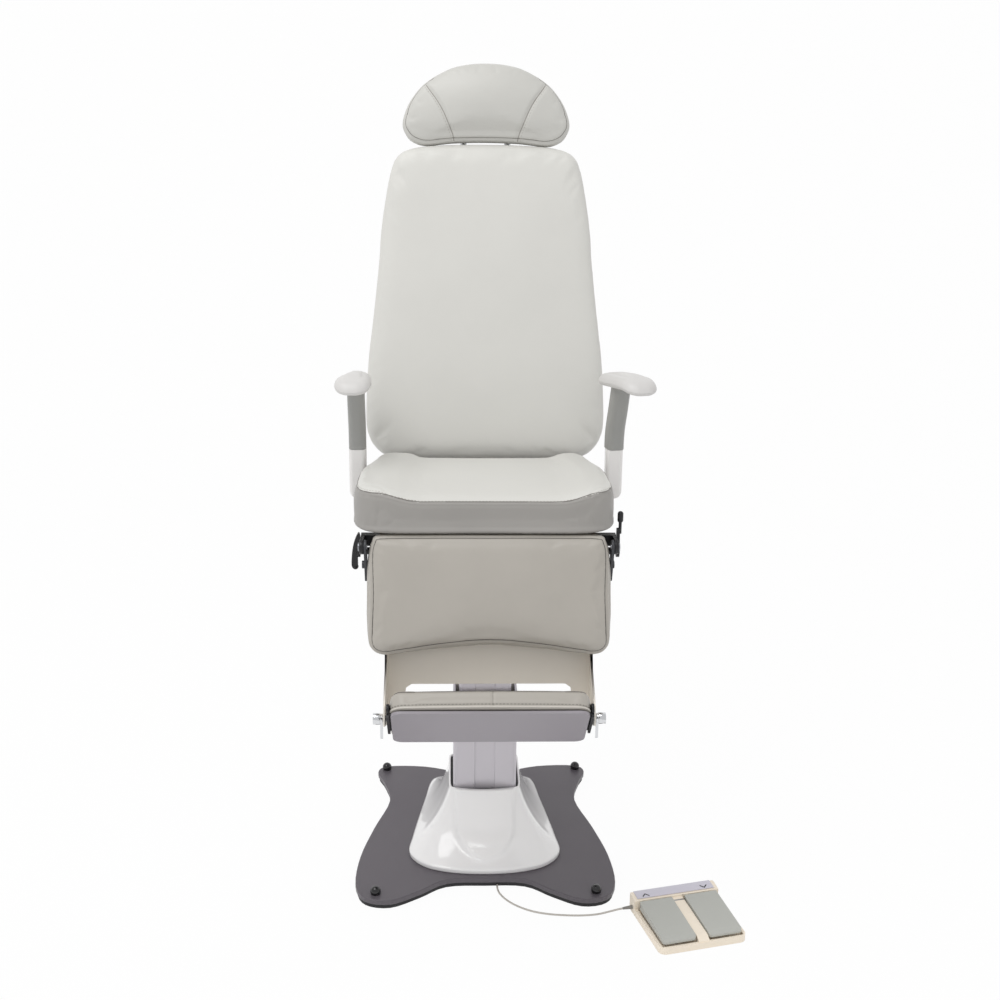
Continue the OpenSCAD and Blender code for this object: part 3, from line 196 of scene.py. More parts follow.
# Glass-filled nylon, rubber, gloss caps and painted board, all black
NYLON = finish_of("black_nylon", "#17161a", 0.34, grain=(1.4, 0.04, 0.2), mottle=0.1)
RUBBER = finish_of("black_rubber", "#1a191c", 0.62, grain=(1.6, 0.05, 0.3), mottle=0.1)
CAP_GLOSS = finish_of("black_gloss_cap", "#121114", 0.14, mottle=0.1, smudge=0.04, coat=0.3)
BOARD = finish_of("black_board", "#2a2a2d", 0.6, grain=(2.5, 0.05, 0.3), mottle=0.05)
# Chromium plate on steel
CHROME = finish_of("chromium_plate", "#d9dadc", 0.07, metal=1.0, mottle=0.01, smudge=0.02)
# Zinc-plated steel
ZINC = finish_of("zinc_plated_steel", "#9a9ca1", 0.32, metal=1.0, grain=(1.5, 0.03, 0.15), mottle=0.05,
                 patch=0.03)
# Birch plywood pan
PLYWOOD = finish_of("birch_plywood", "#a98a63", 0.6, grain=(3.0, 0.1, 0.3), mottle=0.12, patch=0.03)
# Soft PVC cord jacket and its relief
CORD_PVC = finish_of("pvc_cord_jacket", "#c9c4bd", 0.42, mottle=0.02)
RELIEF = finish_of("pvc_strain_relief", "#8d8a86", 0.5)
# Tinted polycarbonate strip on the foot switch, and the marks printed on it
STRIP = finish_of("polycarbonate_strip", "#d3d0dc", 0.16, mottle=0.01, smudge=0.03, coat=0.2)
MARK = finish_of("printed_mark", "#3a3a3e", 0.5, mottle=0.0)
# Acetal glides in the mouth of the column
GLIDE = finish_of("acetal_glide", "#e8e6e0", 0.4)


# Making pieces

def piece_from(name, verts, faces, material, smooth=True):
    mesh = bpy.data.meshes.new(name)
    mesh.from_pydata([tuple(v) for v in verts], [], [tuple(f) for f in faces])
    mesh.validate()
    mesh.update()
    mesh.materials.append(material)
    piece = bpy.data.objects.new(name, mesh)
    scene.collection.objects.link(piece)
    mesh.polygons.foreach_set("use_smooth", [smooth] * len(mesh.polygons))
    return piece


def smooth_all(piece):
    piece.data.polygons.foreach_set("use_smooth", [True] * len(piece.data.polygons))


def points_of(mesh, what="co"):
    values = np.empty(len(mesh.vertices) * 3)
    mesh.vertices.foreach_get(what, values)
    return values.reshape(-1, 3)


def move_points(mesh, places):
    mesh.vertices.foreach_set("co", places.ravel())
    mesh.update()


def skinned(rings, cap_low=True, cap_high=True):
    """Vertices and faces through a stack of closed rings."""
    n = len(rings[0])
    verts = [tuple(p) for ring in rings for p in ring]
    faces = []
    for j in range(len(rings) - 1):
        for i in range(n):
            a, b = j * n + i, j * n + (i + 1) % n
            faces.append((a, b, b + n, a + n))
    if cap_low:
        verts.append(tuple(np.mean(rings[0], axis=0)))
        faces += [(len(verts) - 1, (i + 1) % n, i) for i in range(n)]
    if cap_high:
        top = (len(rings) - 1) * n
        verts.append(tuple(np.mean(rings[-1], axis=0)))
        faces += [(len(verts) - 1, top + i, top + (i + 1) % n) for i in range(n)]
    return verts, faces


def moved_in(outline, d):
    """Closed outline of 2-D points, moved in by d."""
    ahead, behind = np.roll(outline, -1, axis=0), np.roll(outline, 1, axis=0)
    t = ahead - behind
    t /= np.maximum(np.linalg.norm(t, axis=1, keepdims=True), 1e-9)
    return outline - d * np.stack([t[:, 1], -t[:, 0]], axis=1)


def mirrored(points):
    points = [list(p) for p in points]
    return points + [[-x, y] for x, y in points[-2:0:-1]]


def level(flat, z):
    """Outline of 2-D points at a height."""
    return np.column_stack([flat, np.full(len(flat), z)])


def pad_rings(outline, t, back_r, face_r, crown, steps=6, dome=9):
    """Rings of an upholstered pad: flat back at height 0, rounded edges, crowned face."""
    middle = outline.mean(axis=0)
    quarter = [math.pi / 2 * i / steps for i in range(steps + 1)]
    shrink = [1 - i / (dome + 1) for i in range(1, dome + 1)]
    back, face = moved_in(outline, back_r), moved_in(outline, face_r)
    rings = [level(middle + (back - middle) * s, 0.0) for s in shrink[::-1]]
    rings += [level(moved_in(outline, back_r * (1 - math.sin(a))), back_r * (1 - math.cos(a)))
              for a in quarter]
    rings += [level(moved_in(outline, face_r * (1 - math.cos(a))), t - crown - face_r * (1 - math.sin(a)))
              for a in quarter]
    return rings + [level(middle + (face - middle) * s, t - crown * s * s) for s in shrink]


def put(piece, place):
    piece.data.transform(place)
    return piece


def plain(piece):
    """The piece with its modifiers worked into the mesh."""
    graph = bpy.context.evaluated_depsgraph_get()
    mesh = bpy.data.meshes.new_from_object(piece.evaluated_get(graph), preserve_all_data_layers=False,
                                           depsgraph=graph)
    old = piece.data
    piece.modifiers.clear()
    if piece.type == "MESH":
        piece.data = mesh
        bpy.data.meshes.remove(old)
        return piece
    fresh = bpy.data.objects.new(piece.name + "_mesh", mesh)
    scene.collection.objects.link(fresh)
    bpy.data.objects.remove(piece)
    return fresh


def subdivided(piece, levels=1):
    m = piece.modifiers.new("smooth", "SUBSURF")
    m.levels = m.render_levels = levels
    plain(piece)
    smooth_all(piece)
    return piece


# The stuffing: frames and pressure, then the cover's mass and how stiff it is to stretch and to bend
STUFF_FRAMES, STUFF_PRESSURE, COVER_MASS, COVER_STRETCH, COVER_BEND = 20, 4.0, 0.3, 20, 2.0


def stuffed(piece, place, cell, most):
    """Fills the cover like foam: an even mesh, blown up a little by pressure, held flat on its board."""
    grid = piece.modifiers.new("grid", "REMESH")
    grid.mode = "VOXEL"
    grid.voxel_size = cell
    plain(piece)
    rest = points_of(piece.data)
    held = piece.vertex_groups.new(name="board")
    low = np.where(local(rest, place)[:, 2] < cell * 0.8)[0]
    held.add([int(i) for i in low], 1.0, "REPLACE")
    cloth = piece.modifiers.new("cover", "CLOTH")
    given = cloth.settings
    given.quality = 4
    given.mass = COVER_MASS
    given.tension_stiffness = given.compression_stiffness = COVER_STRETCH
    given.bending_stiffness = COVER_BEND
    given.use_pressure = True
    given.uniform_pressure_force = STUFF_PRESSURE
    given.vertex_group_mass = "board"
    given.effector_weights.gravity = 0
    cloth.collision_settings.use_collision = False
    for moment in range(1, STUFF_FRAMES + 1):
        scene.frame_set(moment)
    plain(piece)
    scene.frame_set(1)
    move = points_of(piece.data) - rest
    far = np.maximum(np.linalg.norm(move, axis=1, keepdims=True), 1e-9)
    move_points(piece.data, rest + move / far * np.minimum(far, most))
    piece.vertex_groups.clear()
    return subdivided(piece)


def local(points, place):
    """Points of the scene in a piece's own space."""
    back = np.array(place.inverted())
    return np.column_stack([points, np.ones(len(points))]) @ back[:3].T


def pressed(piece, place, amount):
    """Moves the cover in along its normals by amount(points, normals), both in the pad's own space."""
    co, no = points_of(piece.data), points_of(piece.data, "normal")
    turn = np.array(place.inverted().to_3x3())
    move_points(piece.data, co - no * amount(local(co, place), no @ turn.T)[:, None])


def step(v):
    """Smooth step from 0 to 1."""
    v = np.clip(v, 0, 1)
    return v * v * (3 - 2 * v)


def dent(d, width):
    """Smooth hollow, 1 deep at distance 0."""
    return np.exp(-(d / width) ** 2)


def distance_to(line, points):
    """Least distance of 2-D points to an open line of 2-D points."""
    best = np.full(len(points), 1e9)
    for a, b in zip(line[:-1], line[1:]):
        ab = b - a
        t = np.clip(((points - a) @ ab) / max(ab @ ab, 1e-12), 0, 1)
        best = np.minimum(best, np.linalg.norm(points - a - t[:, None] * ab, axis=1))
    return best


def met(piece, place, starts, ways, lift):
    """Points of the cover met from each start along its way, both in the pad's own space."""
    mesh = piece.data
    tree = BVHTree.FromPolygons([v.co for v in mesh.vertices], [p.vertices for p in mesh.polygons])
    turn = place.to_3x3()
    found = []
    for start, way in zip(starts, ways):
        hit, normal, _, _ = tree.ray_cast(place @ Vector(start), (turn @ Vector(way)).normalized())
        if hit is not None:
            found.append(hit + normal * lift)
    return found


def round_side(piece, place, outline, height, lift=0.0):
    """Line round the side of a pad at a height that may change along it, closed on itself."""
    outside = moved_in(outline, -0.03)
    inwards = outline - outside
    starts = [(x, y, height(x, y)) for x, y in outside]
    found = met(piece, place, starts, [(x, y, 0) for x, y in inwards], lift)
    return found + found[:1]


def on_face(piece, place, line, lift=0.0):
    """Line drawn on the face of a pad."""
    return met(piece, place, [(x, y, 0.2) for x, y in line], [(0, 0, -1)] * len(line), lift)


def line_object(name, points):
    curve = bpy.data.curves.new(name, "CURVE")
    curve.dimensions = "3D"
    spline = curve.splines.new("POLY")
    spline.points.add(len(points) - 1)
    for slot, p in zip(spline.points, points):
        slot.co = (*p, 1)
    line = bpy.data.objects.new(name, curve)
    scene.collection.objects.link(line)
    return line


def repeat_tree():
    """Geometry Nodes: small rounded bars laid end to end along a line, such as a row of stitches."""
    tree = bpy.data.node_groups.new("row_along_line", "GeometryNodeTree")
    for name, kind in (("Line", "NodeSocketGeometry"), ("Pitch", "NodeSocketFloat"),
                       ("Length", "NodeSocketFloat"), ("Radius", "NodeSocketFloat"),
                       ("Finish", "NodeSocketMaterial")):
        tree.interface.new_socket(name=name, in_out="INPUT", socket_type=kind)
    tree.interface.new_socket(name="Row", in_out="OUTPUT", socket_type="NodeSocketGeometry")
    given = add(tree, "NodeGroupInput").outputs
    even = add(tree, "GeometryNodeResampleCurve", {"mode": "LENGTH"},
               {"Curve": given["Line"], "Length": given["Pitch"]})
    way = add(tree, "GeometryNodeInputTangent")
    turn = add(tree, "FunctionNodeAlignRotationToVector", {"axis": "Z"}, {"Vector": way.outputs[0]})
    points = add(tree, "GeometryNodeCurveToPoints", {"mode": "EVALUATED"}, {"Curve": even.outputs[0]})
    bead = add(tree, "GeometryNodeMeshUVSphere", {"Segments": 6, "Rings": 5, "Radius": 1.0})
    half = add(tree, "ShaderNodeMath", {"operation": "MULTIPLY", 1: 0.5}, {0: given["Length"]})
    size = add(tree, "ShaderNodeCombineXYZ",
               links={"X": given["Radius"], "Y": given["Radius"], "Z": half.outputs[0]})
    keep = add(tree, "GeometryNodeCaptureAttribute")
    keep.capture_items.new("ROTATION", "turn")
    keep.domain = "POINT"
    tree.links.new(even.outputs[0], keep.inputs["Geometry"])
    tree.links.new(turn.outputs[0], keep.inputs["turn"])
    tree.links.new(keep.outputs["Geometry"], points.inputs["Curve"])
    rows = add(tree, "GeometryNodeInstanceOnPoints", {}, {"Points": points.outputs["Points"],
               "Instance": bead.outputs["Mesh"], "Rotation": keep.outputs["turn"], "Scale": size.outputs[0]})
    real = add(tree, "GeometryNodeRealizeInstances", {}, {"Geometry": rows.outputs[0]})
    done = add(tree, "GeometryNodeSetMaterial", {},
               {"Geometry": real.outputs[0], "Material": given["Finish"]})
    add(tree, "NodeGroupOutput", {}, {"Row": done.outputs[0]})
    return tree


ROW = repeat_tree()


def row_along(name, points, pitch, length, radius, material):
    line = line_object(name, points)
    m = line.modifiers.new("row", "NODES")
    m.node_group = ROW
    sockets = {s.name: s.identifier for s in ROW.interface.items_tree if s.in_out == "INPUT"}
    for word, value in (("Pitch", pitch), ("Length", length), ("Radius", radius), ("Finish", material)):
        m[sockets[word]] = value
    row = plain(line)
    row.name = name
    if not row.data.materials:
        row.data.materials.append(material)
    return row


def tube_along(name, points, radius, material, sides=8):
    """Closed round tube along a line."""
    points = [Vector(p) for p in points]
    rings = []
    up = Vector((0, 0, 1))
    for i, p in enumerate(points):
        way = (points[min(i + 1, len(points) - 1)] - points[max(i - 1, 0)]).normalized()
        side = way.cross(up)
        if side.length < 1e-3:
            side = way.cross(Vector((0, 1, 0)))
        side.normalize()
        over = side.cross(way)
        rings.append([p + radius * (math.cos(a) * side + math.sin(a) * over)
                      for a in (2 * math.pi * k / sides for k in range(sides))])
    return piece_from(name, *skinned(rings), material)


def right_way_out(piece):
    work = bmesh.new()
    work.from_mesh(piece.data)
    bmesh.ops.remove_doubles(work, verts=work.verts, dist=1e-6)
    bmesh.ops.recalc_face_normals(work, faces=work.faces)
    work.to_mesh(piece.data)
    work.free()
    piece.data.update()
    return piece


def space(y, z, lean, x=0.0, turn=0.0):
    """Space of a piece: moved, turned about Z and leant back about X, with angles in degrees."""
    return (Matrix.Translation((x, y, z)) @ Matrix.Rotation(math.radians(turn), 4, "Z")
            @ Matrix.Rotation(math.radians(-lean), 4, "X"))


def outline_of(table, w, h, up=0.0, n=5):
    """Closed outline, alike on both sides, from a table of shares of its half width and its height."""
    return closed_curve(mirrored([[x * w, y * h + up] for x, y in table]), n)


def rounded_box(w, d, r, n=8):
    points = []
    for x, y, start in ((w / 2 - r, d / 2 - r, 0), (r - w / 2, d / 2 - r, 90),
                        (r - w / 2, r - d / 2, 180), (w / 2 - r, r - d / 2, 270)):
        for k in range(n + 1):
            a = math.radians(start + 90 * k / n)
            points.append([x + r * math.cos(a), y + r * math.sin(a)])
    return np.array(points)


# Where the pieces stand at rest. The arm on the viewer's right is swung outwards.
BACK = space(0.150, 0.768, 11)
LEG = space(-0.264, 0.747, 18)
SEAT = space(-0.272, 0.776, 3)
FOOT = LEG @ Matrix.Translation((0, -0.028, -0.312)) @ Matrix.Rotation(math.radians(18 - 45), 4, "X")
SWITCH = Matrix.Translation((0.389, -0.346, 0)) @ Matrix.Rotation(math.radians(14), 4, "Z")
ARM_X, ARM_Y, ARM_SWUNG = 0.259, 0.030, 14
ARM = {-1: space(ARM_Y, 0, 0, -ARM_X), 1: space(ARM_Y, 0, 0, ARM_X, ARM_SWUNG)}
# Turns the face of a pad towards -Y
UPRIGHT = Matrix(((1, 0, 0, 0), (0, 0, -1, 0), (0, 1, 0, 0), (0, 0, 0, 1)))
# Where each pad lies on its board
PAD = {"seat": SEAT @ Matrix.Translation((0, 0, 0.0003)),
       "back": BACK @ UPRIGHT,
       "head": BACK @ Matrix.Translation((0, -0.0083, 0)) @ UPRIGHT,
       "leg": LEG @ Matrix.Translation((0, 0.026, 0)) @ UPRIGHT,
       "foot": FOOT @ Matrix.Translation((0, 0, -0.0117))}

# Cord

# From under the front edge of the floor plate to the strain relief of the foot switch, in mm
CORD_ROUTE = [(24, -209.4, 2.5), (24, -222, 2.5), (28, -240, 2.2), (40, -262, 2), (60, -284, 2),
              (88, -303, 2), (120, -314, 2), (154, -319, 2), (188, -321, 2.5), (218, -321, 5),
              (242, -318, 9), (258, -315, 11.5), (267.9, -312.5, 12)]
CORD_D = 0.0038
cord_path = open_curve(np.array(CORD_ROUTE) / 1000, 6)
cord = line_object("foot_switch_cord", cord_path)
cord.data.bevel_depth = CORD_D / 2
cord.data.bevel_resolution = 4
cord.data.use_fill_caps = True
cord.data.materials.append(CORD_PVC)
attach(cord, "base")
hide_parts("switch_cord")

# Cushions

# How much lower than its full height a cover starts, as room to swell
SWELL = 0.0015


def cushion(name, node, material, outline, sizes, place, shape=None):
    """A padded piece in the place of its solid.

    sizes are its height above its board, the radii at its back and at its face, the crown of the face,
    the cell of its grid and the most that the stuffing may move it."""
    height, back_r, face_r, crown, cell, most = sizes
    verts, faces = skinned(pad_rings(outline, height - SWELL, back_r, face_r, crown))
    if shape:
        verts = shape(np.array(verts))
    piece = put(piece_from(name, verts, faces, material), place)
    right_way_out(piece)
    stuffed(piece, place, cell, most)
    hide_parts(node)
    return piece


SEAT_W, SEAT_L, SEAT_T = 0.503, 0.358, 0.069
SEAT_SHARES = [[0, 0], [0.58, -0.003], [0.75, 0.003], [0.86, 0.024], [0.935, 0.070], [0.98, 0.140],
               [0.998, 0.24], [1, 0.36], [0.995, 0.5], [0.972, 0.64], [0.93, 0.75], [0.9, 0.84],
               [0.86, 0.94], [0.78, 0.995], [0.5, 0.99], [0, 0.985]]
# Half widths of the backrest at heights above its pivot
BACK_HALF = [(0, 0.031), (0.163, 0.031), (0.208, 0.040), (0.232, 0.058), (0.245, 0.080), (0.2515, 0.108),
             (0.2515, 0.162), (0.2465, 0.245), (0.240, 0.30), (0.232, 0.368), (0.2235, 0.45),
             (0.221, 0.49), (0.2165, 0.531), (0.2105, 0.571), (0.203, 0.612), (0.1965, 0.636),
             (0.187, 0.656), (0.168, 0.6715), (0.130, 0.681), (0.07, 0.685), (0, 0.686)]
HEAD_HALF, HEAD_LOW, HEAD_H, HEAD_LEAN = 0.1715, 0.6775, 0.1655, 0.42
HEAD_SHARES = [[0, 0.05], [0.4, 0.038], [0.72, 0.005], [0.89, 0.06], [0.962, 0.145], [1, 0.26],
               [0.963, 0.416], [0.884, 0.576], [0.733, 0.752], [0.467, 0.917], [0.26, 0.98], [0, 1]]
LEG_HALF, LEG_TOP, LEG_H = 0.224, 0.026, 0.225
LEG_SHARES = [[0, 0.085], [0.4, 0.055], [0.72, 0.008], [0.88, 0], [0.97, 0.05], [1, 0.16], [0.995, 0.5],
              [1, 0.8], [0.975, 0.93], [0.9, 0.99], [0.5, 1], [0, 1]]
FOOT_HALF, FOOT_DEPTH, FOOT_MIDDLE, FOOT_BOW, FOOT_T = 0.1795, 0.158, -0.003, 0.006, 0.040
FOOT_R, FOOT_FLAT = 0.024, 0.15
# Rise of the seat's side bolsters and of its back edge above the seam at the front, and how far the
# front of its cover hangs over its board
BOLSTER, BACK_LIFT, SKIRT = 0.019, 0.010, 0.003


def seat_rise(x, y):
    along = np.clip(y / SEAT_L, 0, 1)
    side = step((np.abs(x) * 2 / SEAT_W - 0.5) / (0.36 - 0.24 * along))
    return BOLSTER * side + BACK_LIFT * (1 - side) * along ** 1.3


def seat_shape(verts):
    x, y, z = verts.T
    skirt = SKIRT * step(1 - y / 0.06) * step(1 - z / 0.02)
    return np.column_stack([x, y, z + seat_rise(x, y) * z / SEAT_T - skirt])


def head_shape(verts):
    """The face of the headrest leans forward, fuller at the top than at the nape."""
    x, y, z = verts.T
    up = (y - HEAD_LOW) / HEAD_H - 0.5
    return np.column_stack([x, y, z * (1 + HEAD_LEAN * np.clip(up, -0.45, 0.5))])


def footrest_outline():
    """Rounded rectangle whose front edge bows out a little in the middle."""
    front = [[x, -FOOT_DEPTH / 2] for x in np.linspace(-FOOT_FLAT, FOOT_FLAT, 13)]
    line = np.vstack([rounded_box(FOOT_HALF * 2, FOOT_DEPTH, FOOT_R, 10), front])
    line = line[np.argsort(np.unwrap(np.arctan2(line[:, 1], line[:, 0])))]
    line[:, 1] -= np.where(line[:, 1] < 0, FOOT_BOW * np.cos(line[:, 0] / FOOT_HALF * math.pi / 2), 0)
    return line + np.array([0, FOOT_MIDDLE])


seat_line = outline_of(SEAT_SHARES, SEAT_W / 2, SEAT_L)
# The cushion sits a little off the middle, with room for the swivel lever beside it
seat_line[:, 0] -= 0.0055 * (1 + step(seat_line[:, 0] / 0.2))
back_line = outline_of(BACK_HALF, 1, 1, n=4)
head_line = outline_of(HEAD_SHARES, HEAD_HALF, HEAD_H, HEAD_LOW)
leg_line = outline_of(LEG_SHARES, LEG_HALF, LEG_H, LEG_TOP - LEG_H)
foot_line = footrest_outline()
seat = cushion("seat_upholstery", "seat_cushion", VINYL, seat_line,
               (SEAT_T, 0.008, 0.013, 0.007, 0.0046, 0.003), PAD["seat"], seat_shape)
back = cushion("backrest_upholstery", "backrest_cushion", VINYL, back_line,
               (0.062, 0.016, 0.018, 0.010, 0.0055, 0.004), PAD["back"])
# The headrest wears the vinyl painted greyer as shade
head = cushion("headrest_upholstery", "headrest_cushion", VINYL_HEAD_SHADED, head_line,
               (0.068, 0.018, 0.022, 0.020, 0.0042, 0.002), PAD["head"], head_shape)
# The legrest and footrest wear the vinyl painted darker as shade
leg = cushion("legrest_upholstery", "legrest_pad", VINYL_LEG_SHADED, leg_line,
              (0.052, 0.006, 0.016, 0.005, 0.0044, 0.003), PAD["leg"])
foot = cushion("footrest_upholstery", "footrest_pad", VINYL_LEG_SHADED, foot_line,
               (FOOT_T, 0.003, 0.008, 0.003, 0.0038, 0.002), PAD["foot"])

# Seams

# Heights of the seams round the sides of the pads, each above its board
SEAT_SEAM, BACK_SEAM, HEAD_SEAM, LEG_SEAM = 0.057, 0.030, 0.034, 0.040
FOOT_SEAM, FOOT_UPPER = 0.006, FOOT_T - 0.006
# Place across of the footrest's middle seam
FOOT_CENTRE = 0.004
# Depth and line of each crease in the corners of the seat's top
SEAT_FOLDS = [(0.0022, [[0.186, 0.012], [0.205, 0.036], [0.229, 0.052]]),
              (0.0016, [[0.196, 0.006], [0.222, 0.030]]),
              (0.0012, [[-0.186, 0.012], [-0.205, 0.036], [-0.226, 0.050]])]
HEAD_LINES = {"left": [[-0.131, 0.812], [-0.118, 0.790], [-0.101, 0.766], [-0.088, 0.744], [-0.079, 0.724],
                       [-0.069, 0.701], [-0.066, 0.688]],
              "right": [[0.128, 0.812], [0.113, 0.788], [0.097, 0.765], [0.085, 0.743], [0.076, 0.722],
                        [0.067, 0.701], [0.064, 0.688]]}
HEAD_SEAMS = {word: open_curve(np.array(line), 8) for word, line in HEAD_LINES.items()}


def side_on(normals):
    """1 where the cover stands upright at the side of a pad, 0 on its face."""
    return step((np.hypot(normals[:, 0], normals[:, 1]) - 0.3) / 0.5)


def seat_seam(x, y):
    return SEAT_SEAM * (1 + seat_rise(x, y) / SEAT_T)


def groove(height, depth, width):
    """A seam drawn in round the side of a pad."""
    return lambda q, n: depth * dent(q[:, 2] - height, width) * side_on(n)


def seat_cover(q, n):
    """The top panel overhangs its boxing, and the corners crease."""
    under = seat_seam(q[:, 0], q[:, 1]) - q[:, 2]
    box = 0.0035 * step(under / 0.006) * step((q[:, 2] - 0.002) / 0.010) + 0.0024 * dent(under, 0.0024)
    folds = sum(depth * dent(distance_to(np.array(line), q[:, :2]), 0.004) for depth, line in SEAT_FOLDS)
    return box * side_on(n) + folds * step((q[:, 2] - 0.05) / 0.01)


def head_cover(q, n):
    face = step((q[:, 2] - 0.03) / 0.02)
    both = sum(dent(distance_to(line, q[:, :2]), 0.0045) for line in HEAD_SEAMS.values())
    return 0.0030 * both * face + groove(HEAD_SEAM, 0.0020, 0.003)(q, n)


def foot_cover(q, n):
    lines = dent(q[:, 2] - FOOT_SEAM, 0.002) + dent(q[:, 2] - FOOT_UPPER, 0.002)
    return (0.0014 * lines + 0.0012 * dent(q[:, 0] - FOOT_CENTRE, 0.0025)) * side_on(n)


pressed(seat, PAD["seat"], seat_cover)
pressed(back, PAD["back"], groove(BACK_SEAM, 0.0024, 0.003))
pressed(head, PAD["head"], head_cover)
pressed(leg, PAD["leg"], groove(LEG_SEAM, 0.0022, 0.0022))
pressed(foot, PAD["foot"], foot_cover)


def painted_shade_finish(piece, place, material, chosen):
    """Gives the faces that chosen(points, normals) picks a darker copy of the vinyl as painted shade, up to
    the seam.
    """
    piece.data.materials.append(material)
    faces = piece.data.polygons
    at = local(np.array([f.center for f in faces]), place)
    normals = np.array([f.normal for f in faces]) @ np.array(place.inverted().to_3x3()).T
    faces.foreach_set("material_index", chosen(at, normals).astype(int))


# The seat's boxing gets the darker copy of the vinyl, painted shade under the top panel's overhang
painted_shade_finish(seat, PAD["seat"], VINYL_BOX_SHADED,
              lambda q, n: (q[:, 2] < seat_seam(q[:, 0], q[:, 1])) & (side_on(n) > 0.2))

STITCH, STITCH_GAP, THREAD_R = 0.0042, 0.0062, 0.00055


def seam(body, name, points, radius, material):
    line = tube_along(name, points, radius, material, 6)
    right_way_out(line)
    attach(line, body)


def stitches(body, name, points, material, pitch=STITCH_GAP, length=STITCH, radius=THREAD_R):
    row = row_along(name, points, pitch, length, radius, material)
    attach(row, body)


seam("seat", "seat_seam", round_side(seat, PAD["seat"], seat_line, seat_seam), 0.0007,
     SEAM_DARK)
seat_row = moved_in(seat_line, 0.011)
stitches("seat", "seat_stitches",
         on_face(seat, PAD["seat"], np.vstack([seat_row, seat_row[:1]])), THREAD)
seam("backrest", "backrest_seam",
     round_side(back, PAD["back"], back_line, lambda x, y: BACK_SEAM), 0.0008, SEAM_DARK)
seam("headrest", "headrest_edge_seam",
     round_side(head, PAD["head"], head_line, lambda x, y: HEAD_SEAM), 0.0007, SEAM_DARK)
for word, line in HEAD_SEAMS.items():
    seam("headrest", "headrest_seam_" + word, on_face(head, PAD["head"], line), 0.0008,
         SEAM_SHADE)
    beside = line + np.array([-0.0055 if word == "left" else 0.0055, 0.001])
    stitches("headrest", "headrest_stitches_" + word, on_face(head, PAD["head"], beside),
             THREAD)
# The legrest's welt is painted dark as the shadow in its seam
seam("legrest", "legrest_seam",
     round_side(leg, PAD["leg"], leg_line, lambda x, y: LEG_SEAM), 0.0009, WELT_SHADOW)
for word, height, radius, material in (("lower", FOOT_SEAM - 0.003, 0.0016, WELT_PALE),
                                       ("upper", FOOT_UPPER, 0.0010, SEAM_DARK)):
    seam("footrest", "footrest_welt_" + word,
         round_side(foot, PAD["foot"], foot_line, lambda x, y: height), radius, material)
foot_front = [p for p in foot_line if p[1] < FOOT_MIDDLE - 0.055]
stitches("footrest", "footrest_stitches",
         met(foot, PAD["foot"], [(x, y - 0.03, FOOT_SEAM + 0.0015) for x, y in foot_front],
             [(0, 1, 0)] * len(foot_front), 0.0), THREAD_DARK, 0.0064, 0.0046, 0.0008)
seam("footrest", "footrest_centre_seam",
     met(foot, PAD["foot"], [(FOOT_CENTRE, -0.13, z) for z in np.linspace(0.007, FOOT_T - 0.007, 9)],
         [(0, 1, 0)] * 9, 0.0), 0.0006, SEAM_SHADE)
for piece, body in ((seat, "seat"), (back, "backrest"), (head, "headrest"), (leg, "legrest"),
                    (foot, "footrest")):
    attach(piece, body)

# Rigid nodes


def soften(node, material, edge):
    """Gives a solid its finish and a small worn edge that catches the light."""
    o = NODE[node]
    for s in o.material_slots:
        s.material = material
    weld = o.modifiers.new("weld", "WELD")
    weld.merge_threshold = 1e-6
    flat = o.modifiers.new("flat", "DECIMATE")
    flat.decimate_type = "DISSOLVE"
    flat.angle_limit = math.radians(0.6)
    if edge:
        m = o.modifiers.new("edge", "BEVEL")
        m.width, m.segments = edge, 2
        m.limit_method, m.angle_limit = "ANGLE", math.radians(32)
        m.harden_normals = True


for node, material, edge in (
        ("base_plate", POWDER_DARK, 0.0016), ("base_underlay", RUBBER, 0.001),
        ("leveller_caps", CAP_GLOSS, 0), ("outer_column", COLUMN_SATIN, 0.0008),
        ("column_glides", GLIDE, 0.0004), ("column_wiper", RUBBER, 0.0005),
        ("lift_motor", FRAME_PAINT, 0.0006), ("switch_housing", ABS_CREAM, 0.0015),
        ("switch_strip", STRIP, 0.0004), ("switch_axle", ZINC, 0), ("cord_strain_relief", RELIEF, 0),
        ("inner_column", COLUMN_SATIN, 0.0008), ("lift_screw", ZINC, 0),
        ("top_flange", FRAME_PAINT, 0.0008), ("swivel_bearing", ZINC, 0.0004),
        ("swivel_hub", FRAME_PAINT, 0.0008), ("seat_frame", FRAME_PAINT, 0.0008),
        ("seat_pan", PLYWOOD, 0.0006), ("arm_bracket_left", FRAME_PAINT, 0.0008),
        ("arm_bracket_right", FRAME_PAINT, 0.0008), ("arm_post_left", ABS_WHITE, 0.0008),
        ("arm_post_right", ABS_WHITE, 0.0008), ("arm_post_plugs", ABS_WHITE, 0.0004),
        ("legrest_brackets", NYLON, 0.0006), ("legrest_pins", ZINC, 0.0004),
        ("lever_shaft", NYLON, 0.0005), ("backrest_frame", FRAME_PAINT, 0.0008),
        ("backrest_shell", ABS_SHELL, 0), ("recline_shaft", ZINC, 0.0005), ("link_rods", ZINC, 0.0006),
        ("spring_cylinder", NYLON, 0.0006), ("spring_rod", CHROME, 0.0003),
        ("headrest_posts", CHROME, 0.0005), ("headrest_hinge_pin", ZINC, 0.0004),
        ("headrest_board", BOARD, 0.0008), ("legrest_frame", FRAME_PAINT, 0.0008),
        # the extension plate's finish is painted lighter as light
        ("legrest_board", BOARD, 0.0006), ("extension_plate", POWDER_BEIGE_LIT, 0.0008),
        ("footrest_pivot", CHROME, 0.0006), ("footrest_brackets", NYLON, 0.0008),
        ("footrest_board", PANEL, 0.0008), ("clamp_lever_left", CHROME, 0.0008),
        ("clamp_lever_right", CHROME, 0.0008), ("recline_lever", NYLON, 0.0006),
        ("swivel_lever", NYLON, 0.0006), ("pedal_up", ABS_PEDAL, 0.0025),
        ("pedal_down", ABS_PEDAL, 0.0025)):
    soften(node, material, edge)

# Arms

